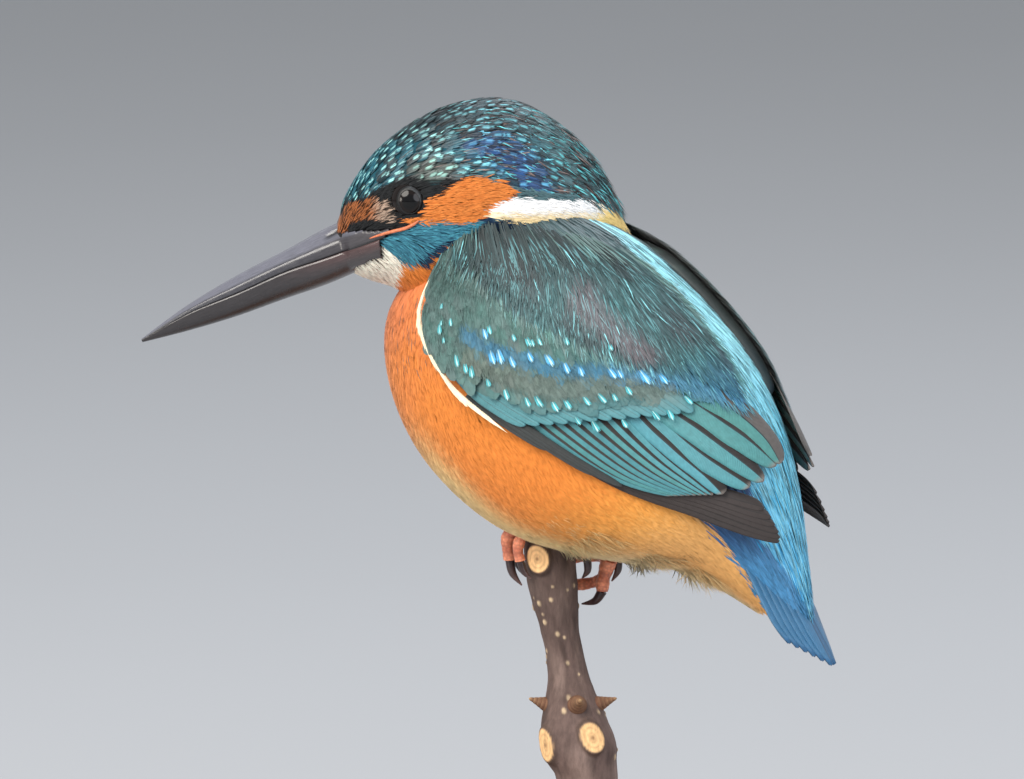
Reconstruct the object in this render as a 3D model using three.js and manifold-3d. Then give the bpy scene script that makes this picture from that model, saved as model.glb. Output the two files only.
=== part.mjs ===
// Common kingfisher (Alcedo atthis), adult male, life size, perched on a cut twig that a plain stand holds.
// Millimetres, +Z up. The bird faces -X, and its left side is -Y.
// The origin is the centre of the stand's underside.
import * as THREE from "three";
import { mergeVertices } from "three/addons/utils/BufferGeometryUtils.js";
import Module from "manifold-3d";

const wasm = await Module();
wasm.setup();

// ---------------------------------------------------------------- driving dimensions

const gap = 0.3; // between neighbouring pieces
const left = -1;
const right = 1;
const big = 400; // side of the blocks that halve a piece

// A form has a back and a breast midline, as [x, z] at even steps along it, and half its width at each.
// The body's runs from the nape to the tips of the tail coverts.
const body = {
  back: [
    [-3, 138], [10, 130.5], [20.5, 121.5], [29, 112],
    [34.6, 102], [37.7, 92], [39.9, 81], [41.7, 70],
  ],
  breast: [
    [-27.5, 128], [-34, 116], [-32.5, 103], [-25, 91],
    [-11.9, 81.6], [5, 78], [20, 76.4], [33, 70],
  ],
  halfWidth: [11, 17, 20.5, 21.5, 20, 16, 9.5, 4],
};

// The surface of the folded wings: it stands off the body, and goes straight on past the rump.
const wing = {
  back: [
    [-1, 139.5], [12.4, 131.8], [22.9, 123], [31.3, 113.4],
    [36.1, 104], [39.9, 96], [43.7, 87.5], [46.6, 79],
  ],
  breast: [
    [-29, 127], [-35.5, 115.3], [-34, 102.7], [-26.8, 90.6],
    [-10, 79.5], [10, 74], [28.3, 70], [40, 66],
  ],
  halfWidth: [13.5, 19.5, 23, 24, 22, 19, 15.7, 14],
};

// The head is in its own frame, turned to the bird's left on the neck.
const head = {
  place: [-19.1, -2, 136.8],
  turn: 24, // degrees
  back: [
    [-23, -5.5], [-20.3, 2], [-14.5, 9.6], [-5, 15.6],
    [6, 17.2], [15.5, 12.5], [22, 5], [26.5, -5],
  ],
  breast: [
    [-21, -11.5], [-17, -13.3], [-12.4, -14.8], [-6, -18.4],
    [2, -19], [11, -17], [19, -13], [24.5, -8],
  ],
  halfWidth: [4.2, 7.2, 10, 12.4, 13, 11.5, 8, 2.5],
};

// The bill's ridge, cutting edge and keel, as [x, z] at even steps in the head's frame,
// and half its width at the edge.
const bill = {
  ridge: [[-15, -1.2], [-23, -4.35], [-31, -8.65], [-39, -12.85], [-47, -17.7], [-54.6, -23.3]],
  edge: [[-13, -4.9], [-22, -8.7], [-30.5, -11.8], [-38.5, -15.35], [-46.8, -18.9], [-54.6, -23.5]],
  keel: [[-13, -9.3], [-22.6, -13.7], [-31, -16.7], [-39, -19.6], [-47, -22], [-54.4, -23.9]],
  halfWidth: [5, 4.3, 3.5, 2.7, 1.8, 0.6],
};

const eye = { radius: 3.4, place: [-10, 8.3, 0.8] };

// The thin cuts that part the flesh: a point [x, z] on each and its slope in degrees.
const cuts = {
  headToNeck: { at: [-15, 130.5], slope: 18 },
  neckToTrunk: { at: [-13, 125.3], slope: 17.5 },
  trunkToTail: { at: [30, 83], slope: -140 },
};

// Outlines on the wing's surface, as [share along the form, angle round it from the back].
const wingLevels = { outer: 0.2, inner: -1.6 };
const columnLevels = [-9, -1, 24]; // the last is far enough out for a flat end to clear the round side
const scapulars = [
  [0.026, 105], [0.037, 88], [0.08, 61], [0.113, 46.5], [0.15, 32], [0.19, 22.5], [0.26, 19],
  [0.35, 19], [0.44, 18], [0.525, 21], [0.482, 30.5], [0.438, 37.5], [0.36, 54], [0.28, 66.2],
  [0.19, 78], [0.12, 85],
];
const coverts = [
  [0.026, 105], [0.12, 85], [0.19, 78], [0.28, 66.2], [0.36, 54], [0.438, 37.5], [0.482, 30.5],
  [0.525, 21], [0.505, 33], [0.48, 47], [0.455, 62], [0.447, 76], [0.43, 88], [0.408, 97.5],
  [0.375, 100.5], [0.34, 104.8], [0.302, 108], [0.253, 110.5], [0.215, 112.5], [0.155, 113.5],
  [0.107, 109.5], [0.06, 108],
];
// Each flight feather's midline on that surface, from under the coverts to its tip,
// and half its width in millimetres.
const secondaries = {
  halfWidth: 3.3,
  lines: [
    [[0.44, 80], [0.54, 71], [0.64, 63], [0.7, 57]],
    [[0.44, 72], [0.54, 63], [0.64, 55], [0.715, 48]],
    [[0.44, 63], [0.54, 54], [0.64, 46], [0.725, 39]],
    [[0.44, 54], [0.54, 46], [0.63, 39], [0.72, 33]],
    [[0.45, 44], [0.54, 38], [0.62, 32], [0.705, 26]],
    [[0.47, 34], [0.54, 30], [0.61, 26], [0.675, 22]],
  ],
};
const primaries = {
  halfWidth: 2.9,
  lines: [
    [[0.4, 92], [0.5, 84], [0.65, 73.5], [0.79, 58], [0.848, 48]],
    [[0.4, 90], [0.5, 81], [0.65, 70], [0.78, 56], [0.835, 46]],
    [[0.4, 88], [0.5, 78], [0.64, 67], [0.75, 55], [0.8, 46]],
    [[0.4, 86], [0.5, 76], [0.62, 66], [0.72, 55], [0.765, 47]],
  ],
};
const wingLength = 78; // of the form along its side
const wingArcPerDegree = 0.37; // of the form's girth
const featherThickness = 1.1;
const tipShare = 0.17; // of a flight feather's length that its round tip takes
const tipBluntness = 0.12;
const featherLift = { secondaries: -0.1, primaries: -0.3 };

const tail = {
  root: [30.6, 0, 88.3],
  tip: [45.6, 0, 62.2],
  feathersPerSide: 6,
  halfWidth: 2.6,
  thickness: 0.45,
  widths: [1, 1.05, 1.05, 0.95, 0.3], // from root to tip, as shares of halfWidth
  middle: 0.8, // from the middle line to the first tip
  spread: 1.25, // between tips, sideways
  rootSpread: 1.1,
  drop: 0.42, // each feather lies this much under the next one in
  shortening: 1.2, // each feather ends this much before the next one in
};

// Feet: each limb is a list of [x, y, z, radius].
const feet = {
  left: {
    shank: [[-1.5, -6.2, 88, 1.5], [-3.5, -4.6, 84.5, 1.2], [-5.6, -3.2, 82, 1.3]],
    toes: [
      [[-5.6, -3.2, 82, 1.3], [-9, -3.3, 83, 1.1], [-11.9, -2.5, 80.6, 1.15], [-12, -1.8, 76.9, 1]],
      [[-5.6, -3.2, 82, 1.3], [-8.4, -1.2, 83, 1], [-11.2, -0.2, 81.4, 1], [-11.7, 0.3, 77.8, 0.95]],
      [[-5.6, -3.2, 82, 1.3], [-8, -5, 81.6, 0.9], [-8.9, -5.4, 79.4, 0.9], [-8.6, -5.2, 77.2, 0.8]],
      [[-5.6, -3.2, 82, 1.3], [-2.4, -1.6, 81.9, 1], [0, 0.2, 80.4, 0.9], [0.8, 0.9, 77.6, 0.8]],
    ],
    claws: [
      [[-12, -1.8, 76.9, 0.8], [-11.4, -2, 74.6, 0.65], [-9.6, -2.3, 72.7, 0.3]],
      [[-11.7, 0.3, 77.8, 0.8], [-11.3, 0.3, 75.6, 0.6], [-10, 0.2, 73.8, 0.3]],
      [[-8.6, -5.2, 77.2, 0.7], [-7.9, -5.2, 75.4, 0.55], [-6.8, -4.9, 74.3, 0.3]],
      [[0.8, 0.9, 77.6, 0.7], [0.9, 1, 75.4, 0.6], [-0.1, 1, 74, 0.3]],
    ],
  },
  right: {
    shank: [[6.5, 6.8, 85, 1.5], [4.6, 6, 80.5, 1.2], [3, 5.2, 76.8, 1.3]],
    toes: [
      [[3, 5.2, 76.8, 1.3], [2.1, 5.4, 74.6, 1.1], [1.8, 5.3, 73, 1.05], [1.7, 5.2, 71.4, 1]],
      [[3, 5.2, 76.8, 1.3], [1.6, 6, 73.6, 1], [-1.4, 6.3, 72.4, 0.95], [-4.6, 5.9, 72, 0.9]],
      [[3, 5.2, 76.8, 1.3], [0.4, 6.6, 77, 0.9], [-2.6, 6.4, 76.8, 0.9], [-5.6, 5.9, 76, 0.8]],
      [[3, 5.2, 76.8, 1.3], [3.6, 6, 77.8, 0.9], [4, 6.4, 77, 0.85]],
    ],
    claws: [
      [[1.7, 5.2, 71.4, 0.85], [0.4, 5.2, 69.7, 0.65], [-1.9, 4.9, 69.1, 0.3]],
      [[-4.6, 5.9, 72, 0.75], [-6.6, 5.6, 71.6, 0.55], [-8, 4.6, 70.8, 0.3]],
      [[-5.6, 5.9, 76, 0.7], [-7.4, 5.5, 75.6, 0.55], [-8.8, 4.7, 74.6, 0.3]],
      [[4, 6.4, 77, 0.75], [4, 6.5, 74.9, 0.6], [2.9, 6.4, 73, 0.3]],
    ],
  },
};
const clawNames = ["middle", "outer", "inner", "hind"];

// The twig: [x, z, radius] from its cut lower end to its cut top, with the swelling at its leaf scars.
const twig = [
  [2.6, 33, 4.9], [1.6, 38, 5], [1, 41.5, 5.2], [0.2, 43.5, 5.8], [-0.1, 46, 6.1], [-0.9, 49.8, 5.6],
  [-1.9, 56, 3.8], [-2.6, 60.1, 3.2], [-3.6, 64.8, 3.2], [-5, 72.8, 4.15], [-5.7, 81, 4.1],
];
const leafScars = [
  { at: [-5.6, 77.6], facing: -93, radius: 2.1, reach: 4.5 },
  { at: [-0.4, 48.2], facing: -43, radius: 2.4, reach: 6.4 },
  { at: [-0.2, 46.6], facing: -124, radius: 2.4, reach: 6.4 },
];
const buds = [
  { at: [-1.2, 51.4], facing: -150, radius: 1.3, reach: 6.9 },
  { at: [-1.2, 51.9], facing: -58, radius: 1.4, reach: 6.9 },
  { at: [-1.2, 51.6], facing: 12, radius: 1.2, reach: 6.9 },
];
const scarTaper = 0.95;
const budTaper = 0.35;
const budLift = 1.2; // of a bud's tip over its foot

const stand = { baseRadius: 48, baseThickness: 8, bevel: 1.5, rodRadius: 2.5, rodX: 1.6, rodTop: 41 };

// ---------------------------------------------------------------- small tools

const radians = THREE.MathUtils.degToRad;

// Catmull-Rom value at share t of a list of evenly spaced numbers.
function through(values, t) {
  const last = values.length - 1;
  const place = THREE.MathUtils.clamp(t, 0, 1) * last;
  const i = Math.min(Math.floor(place), last - 1);
  const w = place - i;
  const near = (k) => values[THREE.MathUtils.clamp(k, 0, last)];
  const [p0, p1, p2, p3] = [i - 1, i, i + 1, i + 2].map(near);
  const before = (p2 - p0) / 2;
  const after = (p3 - p1) / 2;
  const cubic = 2 * p1 - 2 * p2 + before + after;
  const square = 3 * p2 - 3 * p1 - 2 * before - after;
  return cubic * w ** 3 + square * w ** 2 + before * w + p1;
}

const pointThrough = (points, t) => [0, 1].map((axis) => through(points.map((p) => p[axis]), t));

// A point on a form: share t along it, and angle round it from the back (0) over one side (90)
// to the breast (180).
function onForm(form, t, angle, side, grow = 0) {
  const [bx, bz] = pointThrough(form.back, t);
  const [fx, fz] = pointThrough(form.breast, t);
  const halfDepth = Math.hypot(bx - fx, bz - fz) / 2;
  const stretch = (1 + grow / halfDepth) / 2;
  const cos = Math.cos(radians(angle));
  const sin = Math.sin(radians(angle));
  return new THREE.Vector3(
    (bx + fx) / 2 + (bx - fx) * stretch * cos,
    side * (through(form.halfWidth, t) + grow) * sin,
    (bz + fz) / 2 + (bz - fz) * stretch * cos,
  );
}

function solidOf(geometry) {
  const bare = geometry.clone();
  bare.deleteAttribute("normal");
  bare.deleteAttribute("uv");
  const merged = mergeVertices(bare, 1e-4);
  const vertProperties = merged.attributes.position.array;
  const make = (triVerts) => new wasm.Manifold(new wasm.Mesh({ numProp: 3, vertProperties, triVerts }));
  const index = new Uint32Array(merged.index.array);
  const made = make(index);
  if (made.volume() > 0) return made;
  for (let i = 0; i < index.length; i += 3) [index[i + 1], index[i + 2]] = [index[i + 2], index[i + 1]];
  return make(index);
}

function geometryOf(solid) {
  const mesh = solid.getMesh();
  const geometry = new THREE.BufferGeometry();
  geometry.setAttribute("position", new THREE.BufferAttribute(new Float32Array(mesh.vertProperties), 3));
  geometry.setIndex(new THREE.BufferAttribute(new Uint32Array(mesh.triVerts), 1));
  return geometry;
}

// Two triangles for each four-sided face between the rings, where ring r starts at point r * sides.
function wallFaces(ringCount, sides) {
  const faces = [];
  for (let r = 0; r + 1 < ringCount; r++) {
    for (let s = 0; s < sides; s++) {
      const a = r * sides + s;
      const b = r * sides + ((s + 1) % sides);
      faces.push(a, b, a + sides, b, b + sides, a + sides);
    }
  }
  return faces;
}

// A closed solid from rings of points, each ring the same length, with a fan over both ends.
function solidOver(rings) {
  const sides = rings[0].length;
  const points = rings.flat();
  const faces = wallFaces(rings.length, sides);
  for (const [ring, flip] of [[0, true], [rings.length - 1, false]]) {
    const centre = points.length;
    const sum = rings[ring].reduce((total, p) => total.add(p), new THREE.Vector3());
    points.push(sum.divideScalar(sides));
    for (let s = 0; s < sides; s++) {
      const a = ring * sides + s;
      const b = ring * sides + ((s + 1) % sides);
      faces.push(...(flip ? [b, a, centre] : [a, b, centre]));
    }
  }
  const geometry = new THREE.BufferGeometry().setFromPoints(points);
  geometry.setIndex(faces);
  return solidOf(geometry);
}

function loft(form, rings, sides, grow = 0) {
  const made = [];
  for (let r = 0; r <= rings; r++) {
    const ring = [];
    for (let s = 0; s < sides; s++) ring.push(onForm(form, r / rings, (360 * s) / sides, right, grow));
    made.push(ring);
  }
  return solidOver(made);
}

// A limb of oval section along a smooth path of [x, y, z, radius].
// Flatness is its section's height by its width.
function limb(stations, { sides = 8, steps = 8, swell = 0, flatness = 1, up = [0, 0, 1] } = {}) {
  const curve = new THREE.CatmullRomCurve3(stations.map(([x, y, z]) => new THREE.Vector3(x, y, z)));
  const rings = [];
  for (let r = 0; r <= steps; r++) {
    const t = r / steps;
    const along = curve.getTangent(t);
    const across = new THREE.Vector3().crossVectors(new THREE.Vector3(...up), along).normalize();
    const height = new THREE.Vector3().crossVectors(along, across);
    const radius = through(stations.map((s) => s[3]), t);
    const centre = curve.getPoint(t);
    if (r === 0) centre.addScaledVector(along, -swell);
    if (r === steps) centre.addScaledVector(along, swell);
    const ring = [];
    for (let s = 0; s < sides; s++) {
      const angle = (2 * Math.PI * s) / sides;
      const point = centre.clone().addScaledVector(across, (radius + swell) * Math.cos(angle));
      ring.push(point.addScaledVector(height, (radius * flatness + swell) * Math.sin(angle)));
    }
    rings.push(ring);
  }
  return solidOver(rings);
}

const joined = (solids) => solids.reduce((all, solid) => all.add(solid));

const largest = (solid) => solid.decompose().reduce((a, b) => (a.volume() > b.volume() ? a : b));

// A block that covers everything on the upper side of a cut, moved up by lift.
function blockAbove({ at: [x, z], slope }, lift) {
  const block = new THREE.BoxGeometry(big, big, big);
  block.translate(0, 0, big / 2 + lift);
  block.rotateY(radians(-slope));
  block.translate(x, 0, z);
  return solidOf(block);
}

const above = (solid, cut) => solid.intersect(blockAbove(cut, gap / 2));
const below = (solid, cut) => solid.subtract(blockAbove(cut, -gap / 2));

// ---------------------------------------------------------------- flesh

const headMatrix = new THREE.Matrix4()
  .makeTranslation(...head.place)
  .multiply(new THREE.Matrix4().makeRotationZ(radians(head.turn)));

const inHead = (solid) => solidOf(geometryOf(solid).applyMatrix4(headMatrix));

const fleshOf = (grow) => loft(body, 15, 20, grow).add(inHead(loft(head, 12, 20, grow)));

function eyeball(side, swell) {
  const [x, y, z] = eye.place;
  const ball = new THREE.SphereGeometry(eye.radius + swell, 12, 8);
  return inHead(solidOf(ball.translate(x, side * y, z)));
}

// One half of the bill: an arch from its cutting edge to its ridge or keel, over a flat at the edge.
function mandible(outline, setback, swell) {
  const steps = 8;
  const archSides = 8;
  const rings = [];
  for (let r = 0; r <= steps; r++) {
    const t = r / steps;
    const [ex, ez] = pointThrough(bill.edge, t);
    const [ox, oz] = pointThrough(outline, t);
    const rise = Math.sign(oz - ez);
    const width = through(bill.halfWidth, t) + swell;
    const reach = r === 0 ? swell : 0;
    const ring = [];
    for (let s = 0; s <= archSides; s++) {
      const angle = (Math.PI * s) / archSides;
      const lift = Math.sin(angle);
      const z = ez + rise * (setback - swell) + (oz - ez + rise * (2 * swell - setback)) * lift;
      ring.push(new THREE.Vector3(ex + (ox - ex) * lift + reach, width * Math.cos(angle), z));
    }
    rings.push(ring);
  }
  return inHead(solidOver(rings));
}

const upperBill = (swell) => mandible(bill.ridge, 0, swell);
const lowerBill = (swell) => mandible(bill.keel, gap, swell);

// ---------------------------------------------------------------- wings

// A place on the wing's surface laid flat, as [millimetres along, millimetres round].
const onSheet = ([t, angle]) => new THREE.Vector3(t * wingLength, angle * wingArcPerDegree, 0);

// A closed outline pushed outwards by swell.
function swollen(points, swell) {
  const area = THREE.ShapeUtils.area(points);
  return points.map((point, i) => {
    const before = points[(i + points.length - 1) % points.length];
    const after = points[(i + 1) % points.length];
    const along = after.clone().sub(before).normalize();
    const out = new THREE.Vector3(along.y, -along.x, 0).multiplyScalar(Math.sign(area) * swell);
    return point.clone().add(out);
  });
}

// A column through the wing's surface, whose walls stand on an outline.
function column(points, side) {
  const levels = columnLevels.map((grow) =>
    points.map((p) => onForm(wing, p.x / wingLength, p.y / wingArcPerDegree, side, grow)),
  );
  const count = points.length;
  const faces = wallFaces(levels.length, count);
  const outer = (levels.length - 1) * count;
  const flat = points.map((p) => new THREE.Vector2(p.x, p.y));
  const turned = THREE.ShapeUtils.isClockWise(flat);
  for (const [a, b, c] of THREE.ShapeUtils.triangulateShape(flat, [])) {
    faces.push(...(turned ? [a, b, c] : [c, b, a]));
    faces.push(...(turned ? [c, b, a] : [a, b, c]).map((k) => k + outer));
  }
  const geometry = new THREE.BufferGeometry().setFromPoints(levels.flat());
  geometry.setIndex(faces);
  return solidOf(geometry);
}

const patch = (outline, side, swell) => column(swollen(outline.map(onSheet), swell), side);

// The outline of a flight feather: straight sides and a round tip.
function featherOutline(line, halfWidth) {
  const steps = 6;
  const stride = 0.04;
  const spot = (share) => onSheet(pointThrough(line, share));
  const [one, other] = [[], []];
  for (let i = 0; i <= steps; i++) {
    const t = i / steps;
    const intoTip = Math.max(0, (t - 1 + tipShare) / tipShare);
    const width = Math.max(tipBluntness, Math.sqrt(1 - intoTip ** 2)) * halfWidth;
    const ahead = Math.min(1, t + stride / 2);
    const along = spot(ahead).sub(spot(ahead - stride)).normalize();
    const out = new THREE.Vector3(-along.y, along.x, 0).multiplyScalar(width);
    one.push(spot(t).add(out));
    other.unshift(spot(t).sub(out));
  }
  return [...one, ...other];
}

const shell = (outer, inner) => loft(wing, 13, 22, outer).subtract(loft(wing, 13, 22, inner));

function featherColumns({ lines, halfWidth }, side, swell) {
  return joined(lines.map((line) => column(swollen(featherOutline(line, halfWidth), swell), side)));
}

function wingPieces(side, flesh) {
  const cover = shell(wingLevels.outer, wingLevels.inner).subtract(flesh);
  const scapularPatch = patch(scapulars, side, gap);
  const covertPatch = patch(coverts, side, gap);
  const vanes = (lift) => shell(lift, lift - featherThickness).subtract(flesh);
  const secondary = vanes(featherLift.secondaries).intersect(featherColumns(secondaries, side, 0));
  const primary = vanes(featherLift.primaries).intersect(featherColumns(primaries, side, 0));
  const pieces = {
    scapulars: cover.intersect(patch(scapulars, side, 0)),
    coverts: cover.intersect(patch(coverts, side, 0)).subtract(scapularPatch),
    secondaries: secondary.subtract(scapularPatch).subtract(covertPatch),
    primaries: primary
      .subtract(scapularPatch)
      .subtract(covertPatch)
      .subtract(featherColumns(secondaries, side, gap)),
  };
  return Object.entries(pieces).map(([name, solid]) => [name, largest(solid)]);
}

// ---------------------------------------------------------------- tail, feet, perch and stand

function tailFeathers(flesh) {
  const root = new THREE.Vector3(...tail.root);
  const tip = new THREE.Vector3(...tail.tip);
  const along = tip.clone().sub(root).normalize();
  const upwards = new THREE.Vector3().crossVectors(new THREE.Vector3(0, 1, 0), along).negate();
  const feathers = [];
  for (const side of [left, right]) {
    for (let i = 0; i < tail.feathersPerSide; i++) {
      const start = root.clone().addScaledVector(upwards, -tail.drop * i);
      start.y = side * tail.rootSpread * i;
      const end = tip.clone().addScaledVector(along, -tail.shortening * i);
      end.addScaledVector(upwards, -tail.drop * i);
      end.y = side * (tail.middle + tail.spread * i);
      const last = tail.widths.length - 1;
      const station = (share, k) => [...start.clone().lerp(end, k / last), share * tail.halfWidth];
      const stations = tail.widths.map(station);
      const flatness = tail.thickness / tail.halfWidth;
      feathers.push(limb(stations, { sides: 6, steps: 4, flatness, up: upwards.toArray() }));
    }
  }
  return largest(joined(feathers).subtract(flesh));
}

const footUp = [0.3, 0.9, 0.2]; // no limb of a foot runs this way

const footPiece = (stations, swell = 0) => limb(stations, { swell, sides: 6, steps: 4, up: footUp });

function foot({ shank, toes, claws }) {
  const limbs = [shank, ...toes].map((stations) => footPiece(stations));
  return joined(limbs).subtract(joined(claws.map((stations) => footPiece(stations, gap))));
}

// A lump on the twig, at the height and facing given: a disc for a leaf scar, a cone for a bud.
function lump({ at: [x, z], facing, radius, reach }, taper, lift) {
  const [dx, dy] = [Math.cos(radians(facing)), Math.sin(radians(facing))];
  const stations = [0.2, 1].map((share) => [
    x + dx * reach * share,
    dy * reach * share,
    z + lift * share,
    share < 1 ? radius : radius * taper,
  ]);
  return limb(stations, { steps: 1 });
}

function rodBetween(low, high, swell) {
  const radius = stand.rodRadius + swell;
  const rod = new THREE.CylinderGeometry(radius, radius, high - low, 16);
  rod.rotateX(Math.PI / 2);
  return solidOf(rod.translate(stand.rodX, 0, (low + high) / 2));
}

function twigPiece(swell = 0) {
  const wood = limb(twig.map(([x, z, r]) => [x, 0, z, r]), { sides: 12, steps: 15, swell, up: [0, 1, 0] });
  if (swell) return wood;
  const scars = leafScars.map((scar) => lump(scar, scarTaper, 0));
  const points = buds.map((bud) => lump(bud, budTaper, budLift));
  return joined([wood, ...scars, ...points]).subtract(rodBetween(0, stand.rodTop + gap, gap));
}


function standBase() {
  const { baseRadius, baseThickness, bevel } = stand;
  const profile = [
    [0, 0], [baseRadius, 0], [baseRadius, baseThickness - bevel],
    [baseRadius - bevel, baseThickness], [0, baseThickness],
  ];
  const disc = new THREE.LatheGeometry(profile.map(([r, z]) => new THREE.Vector2(r, z)), 48);
  return solidOf(disc.rotateX(Math.PI / 2));
}

// ---------------------------------------------------------------- the model

const model = new THREE.Group();

function add(name, solid, colour, roughness = 0.7, metalness = 0) {
  const material = new THREE.MeshStandardMaterial({ color: colour, roughness, metalness });
  const mesh = new THREE.Mesh(geometryOf(solid), material);
  mesh.name = name;
  model.add(mesh);
}

const perch = twigPiece();
const perchPlus = twigPiece(gap);
const limbsPlus = [feet.left, feet.right].flatMap(({ shank, toes, claws }) => [shank, ...toes, ...claws]);
const pocket = joined([perchPlus, ...limbsPlus.map((stations) => footPiece(stations, gap))]);
const sockets = joined([upperBill(gap), lowerBill(gap), eyeball(left, gap), eyeball(right, gap)]);
const whole = fleshOf(0).subtract(sockets).subtract(pocket);
const wholePlus = fleshOf(gap);

const belowHead = below(whole, cuts.headToNeck);
const belowNeck = below(belowHead, cuts.neckToTrunk);
add("head", largest(above(whole, cuts.headToNeck)), 0x1f5f6b);
add("neck", largest(above(belowHead, cuts.neckToTrunk)), 0xe6dcc8);
add("trunk", largest(below(belowNeck, cuts.trunkToTail)), 0xe8862e);
add("tail_coverts", largest(above(belowNeck, cuts.trunkToTail)), 0x2f9fd0);
add("bill_upper", upperBill(0), 0x20242a, 0.4);
add("bill_lower", lowerBill(0), 0x20242a, 0.4);
for (const [sideName, side] of [["left", left], ["right", right]]) {
  add("eye_" + sideName, eyeball(side, 0), 0x120c0a, 0.1);
  for (const [name, solid] of wingPieces(side, wholePlus)) {
    add(`wing_${sideName}_${name}`, solid, name === "primaries" ? 0x3a3336 : 0x2c6f7a);
  }
}
add("tail", tailFeathers(wholePlus), 0x1c4f9c);
for (const sideName of ["left", "right"]) {
  add("leg_" + sideName, largest(foot(feet[sideName]).subtract(perchPlus)), 0xa8402c, 0.5);
  feet[sideName].claws.forEach((stations, i) => {
    const claw = largest(footPiece(stations).subtract(perchPlus));
    add(`claw_${sideName}_${clawNames[i]}`, claw, 0x1a1a1e, 0.35);
  });
}
add("perch", perch, 0x5a463d, 0.8);
add("stand_rod", rodBetween(stand.baseThickness + gap, stand.rodTop, 0), 0x8a8c90, 0.3, 1);
add("stand_base", standBase(), 0x2a2623, 0.5);

export default model;
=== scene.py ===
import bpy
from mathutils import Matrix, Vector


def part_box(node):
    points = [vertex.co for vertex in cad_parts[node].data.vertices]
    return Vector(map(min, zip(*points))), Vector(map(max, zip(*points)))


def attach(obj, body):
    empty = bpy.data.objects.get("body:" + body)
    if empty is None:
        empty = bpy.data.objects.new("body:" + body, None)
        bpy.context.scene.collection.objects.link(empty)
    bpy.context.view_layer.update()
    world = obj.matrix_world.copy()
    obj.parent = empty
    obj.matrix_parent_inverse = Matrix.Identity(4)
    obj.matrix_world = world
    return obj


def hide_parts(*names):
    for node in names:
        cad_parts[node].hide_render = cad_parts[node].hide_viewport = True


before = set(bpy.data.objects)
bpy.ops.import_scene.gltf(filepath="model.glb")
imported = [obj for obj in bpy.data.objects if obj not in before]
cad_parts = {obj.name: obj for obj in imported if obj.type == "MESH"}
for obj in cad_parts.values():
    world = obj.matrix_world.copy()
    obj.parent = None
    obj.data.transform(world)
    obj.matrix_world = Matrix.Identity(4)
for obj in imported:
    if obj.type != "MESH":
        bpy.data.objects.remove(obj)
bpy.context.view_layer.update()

import math
from functools import partial

import bpy
import numpy as np
from mathutils import Matrix, Vector

# A common kingfisher on a twig, life size, for a museum stand.
# Lengths are in millimetres until a mesh is made. The bird faces -X, its left side is -Y, Z is up.

millimetre = 0.001
mapTurn = 364  # degrees round a form that the map takes in, a little over a full turn, so its rim stays free
left = -1
right = 1

# the forms that the plumage lies on, the same as the solids'

bodyForm = {
    "back": [[-3, 138], [10, 130.5], [20.5, 121.5], [29, 112], [34.6, 102], [37.7, 92], [39.9, 81],
        [41.7, 70]],
    "breast": [[-27.5, 128], [-34, 116], [-32.5, 103], [-25, 91], [-11.9, 81.6], [5, 78], [20, 76.4],
        [33, 70]],
    "halfWidth": [11, 17, 20.5, 21.5, 20, 16, 9.5, 4],
}
wingForm = {
    "back": [[-1, 139.5], [12.4, 131.8], [22.9, 123], [31.3, 113.4], [36.1, 104], [39.9, 96], [43.7, 87.5],
        [46.6, 79]],
    "breast": [[-29, 127], [-35.5, 115.3], [-34, 102.7], [-26.8, 90.6], [-10, 79.5], [10, 74], [28.3, 70],
        [40, 66]],
    "halfWidth": [13.5, 19.5, 23, 24, 22, 19, 15.7, 14],
}
headForm = {
    "back": [[-23, -5.5], [-20.3, 2], [-14.5, 9.6], [-5, 15.6], [6, 17.2], [15.5, 12.5], [22, 5], [26.5, -5]],
    "breast": [[-21, -11.5], [-17, -13.3], [-12.4, -14.8], [-6, -18.4], [2, -19], [11, -17], [19, -13],
        [24.5, -8]],
    "halfWidth": [4.2, 7.2, 10, 12.4, 13, 11.5, 8, 2.5],
    "turn": 24,
    "place": [-19.1, -2, 136.8],
}
wingSheet = {"along": 78, "perDegree": 0.37}  # the wing's surface laid flat, in mm


def smoothThrough(values, t):
    # Catmull-Rom curve through evenly spaced values, run on straight beyond both ends
    values = np.asarray(values, float)
    last = len(values) - 1
    inside = np.clip(t, 0, 1)
    place = inside * last
    i = np.minimum(place.astype(int), last - 1)
    w = place - i
    p0, p1, p2, p3 = (values[np.clip(i + k, 0, last)] for k in (-1, 0, 1, 2))
    before = (p2 - p0) / 2
    after = (p3 - p1) / 2
    cubic = 2 * p1 - 2 * p2 + before + after
    square = 3 * p2 - 3 * p1 - 2 * before - after
    beyond = (t - inside) * last
    ends = np.where(beyond > 0, values[-1] - values[-2], values[1] - values[0])
    return ((cubic * w + square) * w + before) * w + p1 + beyond * ends


def midlines(form, t):
    # the back's and the breast's middle line at share t, as x and z of each
    return [smoothThrough([p[k] for p in form[line]], t) for line in ("back", "breast") for k in (0, 1)]


def placed(form, points):
    # turned about the vertical and moved to where the form stands
    if "turn" not in form:
        return points
    turn = math.radians(form["turn"])
    turned = np.array([[math.cos(turn), math.sin(turn), 0], [-math.sin(turn), math.cos(turn), 0], [0, 0, 1]])
    return points @ turned + np.array(form["place"])


def unplaced(form, points):
    if "turn" not in form:
        return points
    turn = math.radians(form["turn"])
    turned = np.array([[math.cos(turn), -math.sin(turn), 0], [math.sin(turn), math.cos(turn), 0], [0, 0, 1]])
    return (points - np.array(form["place"])) @ turned


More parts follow.
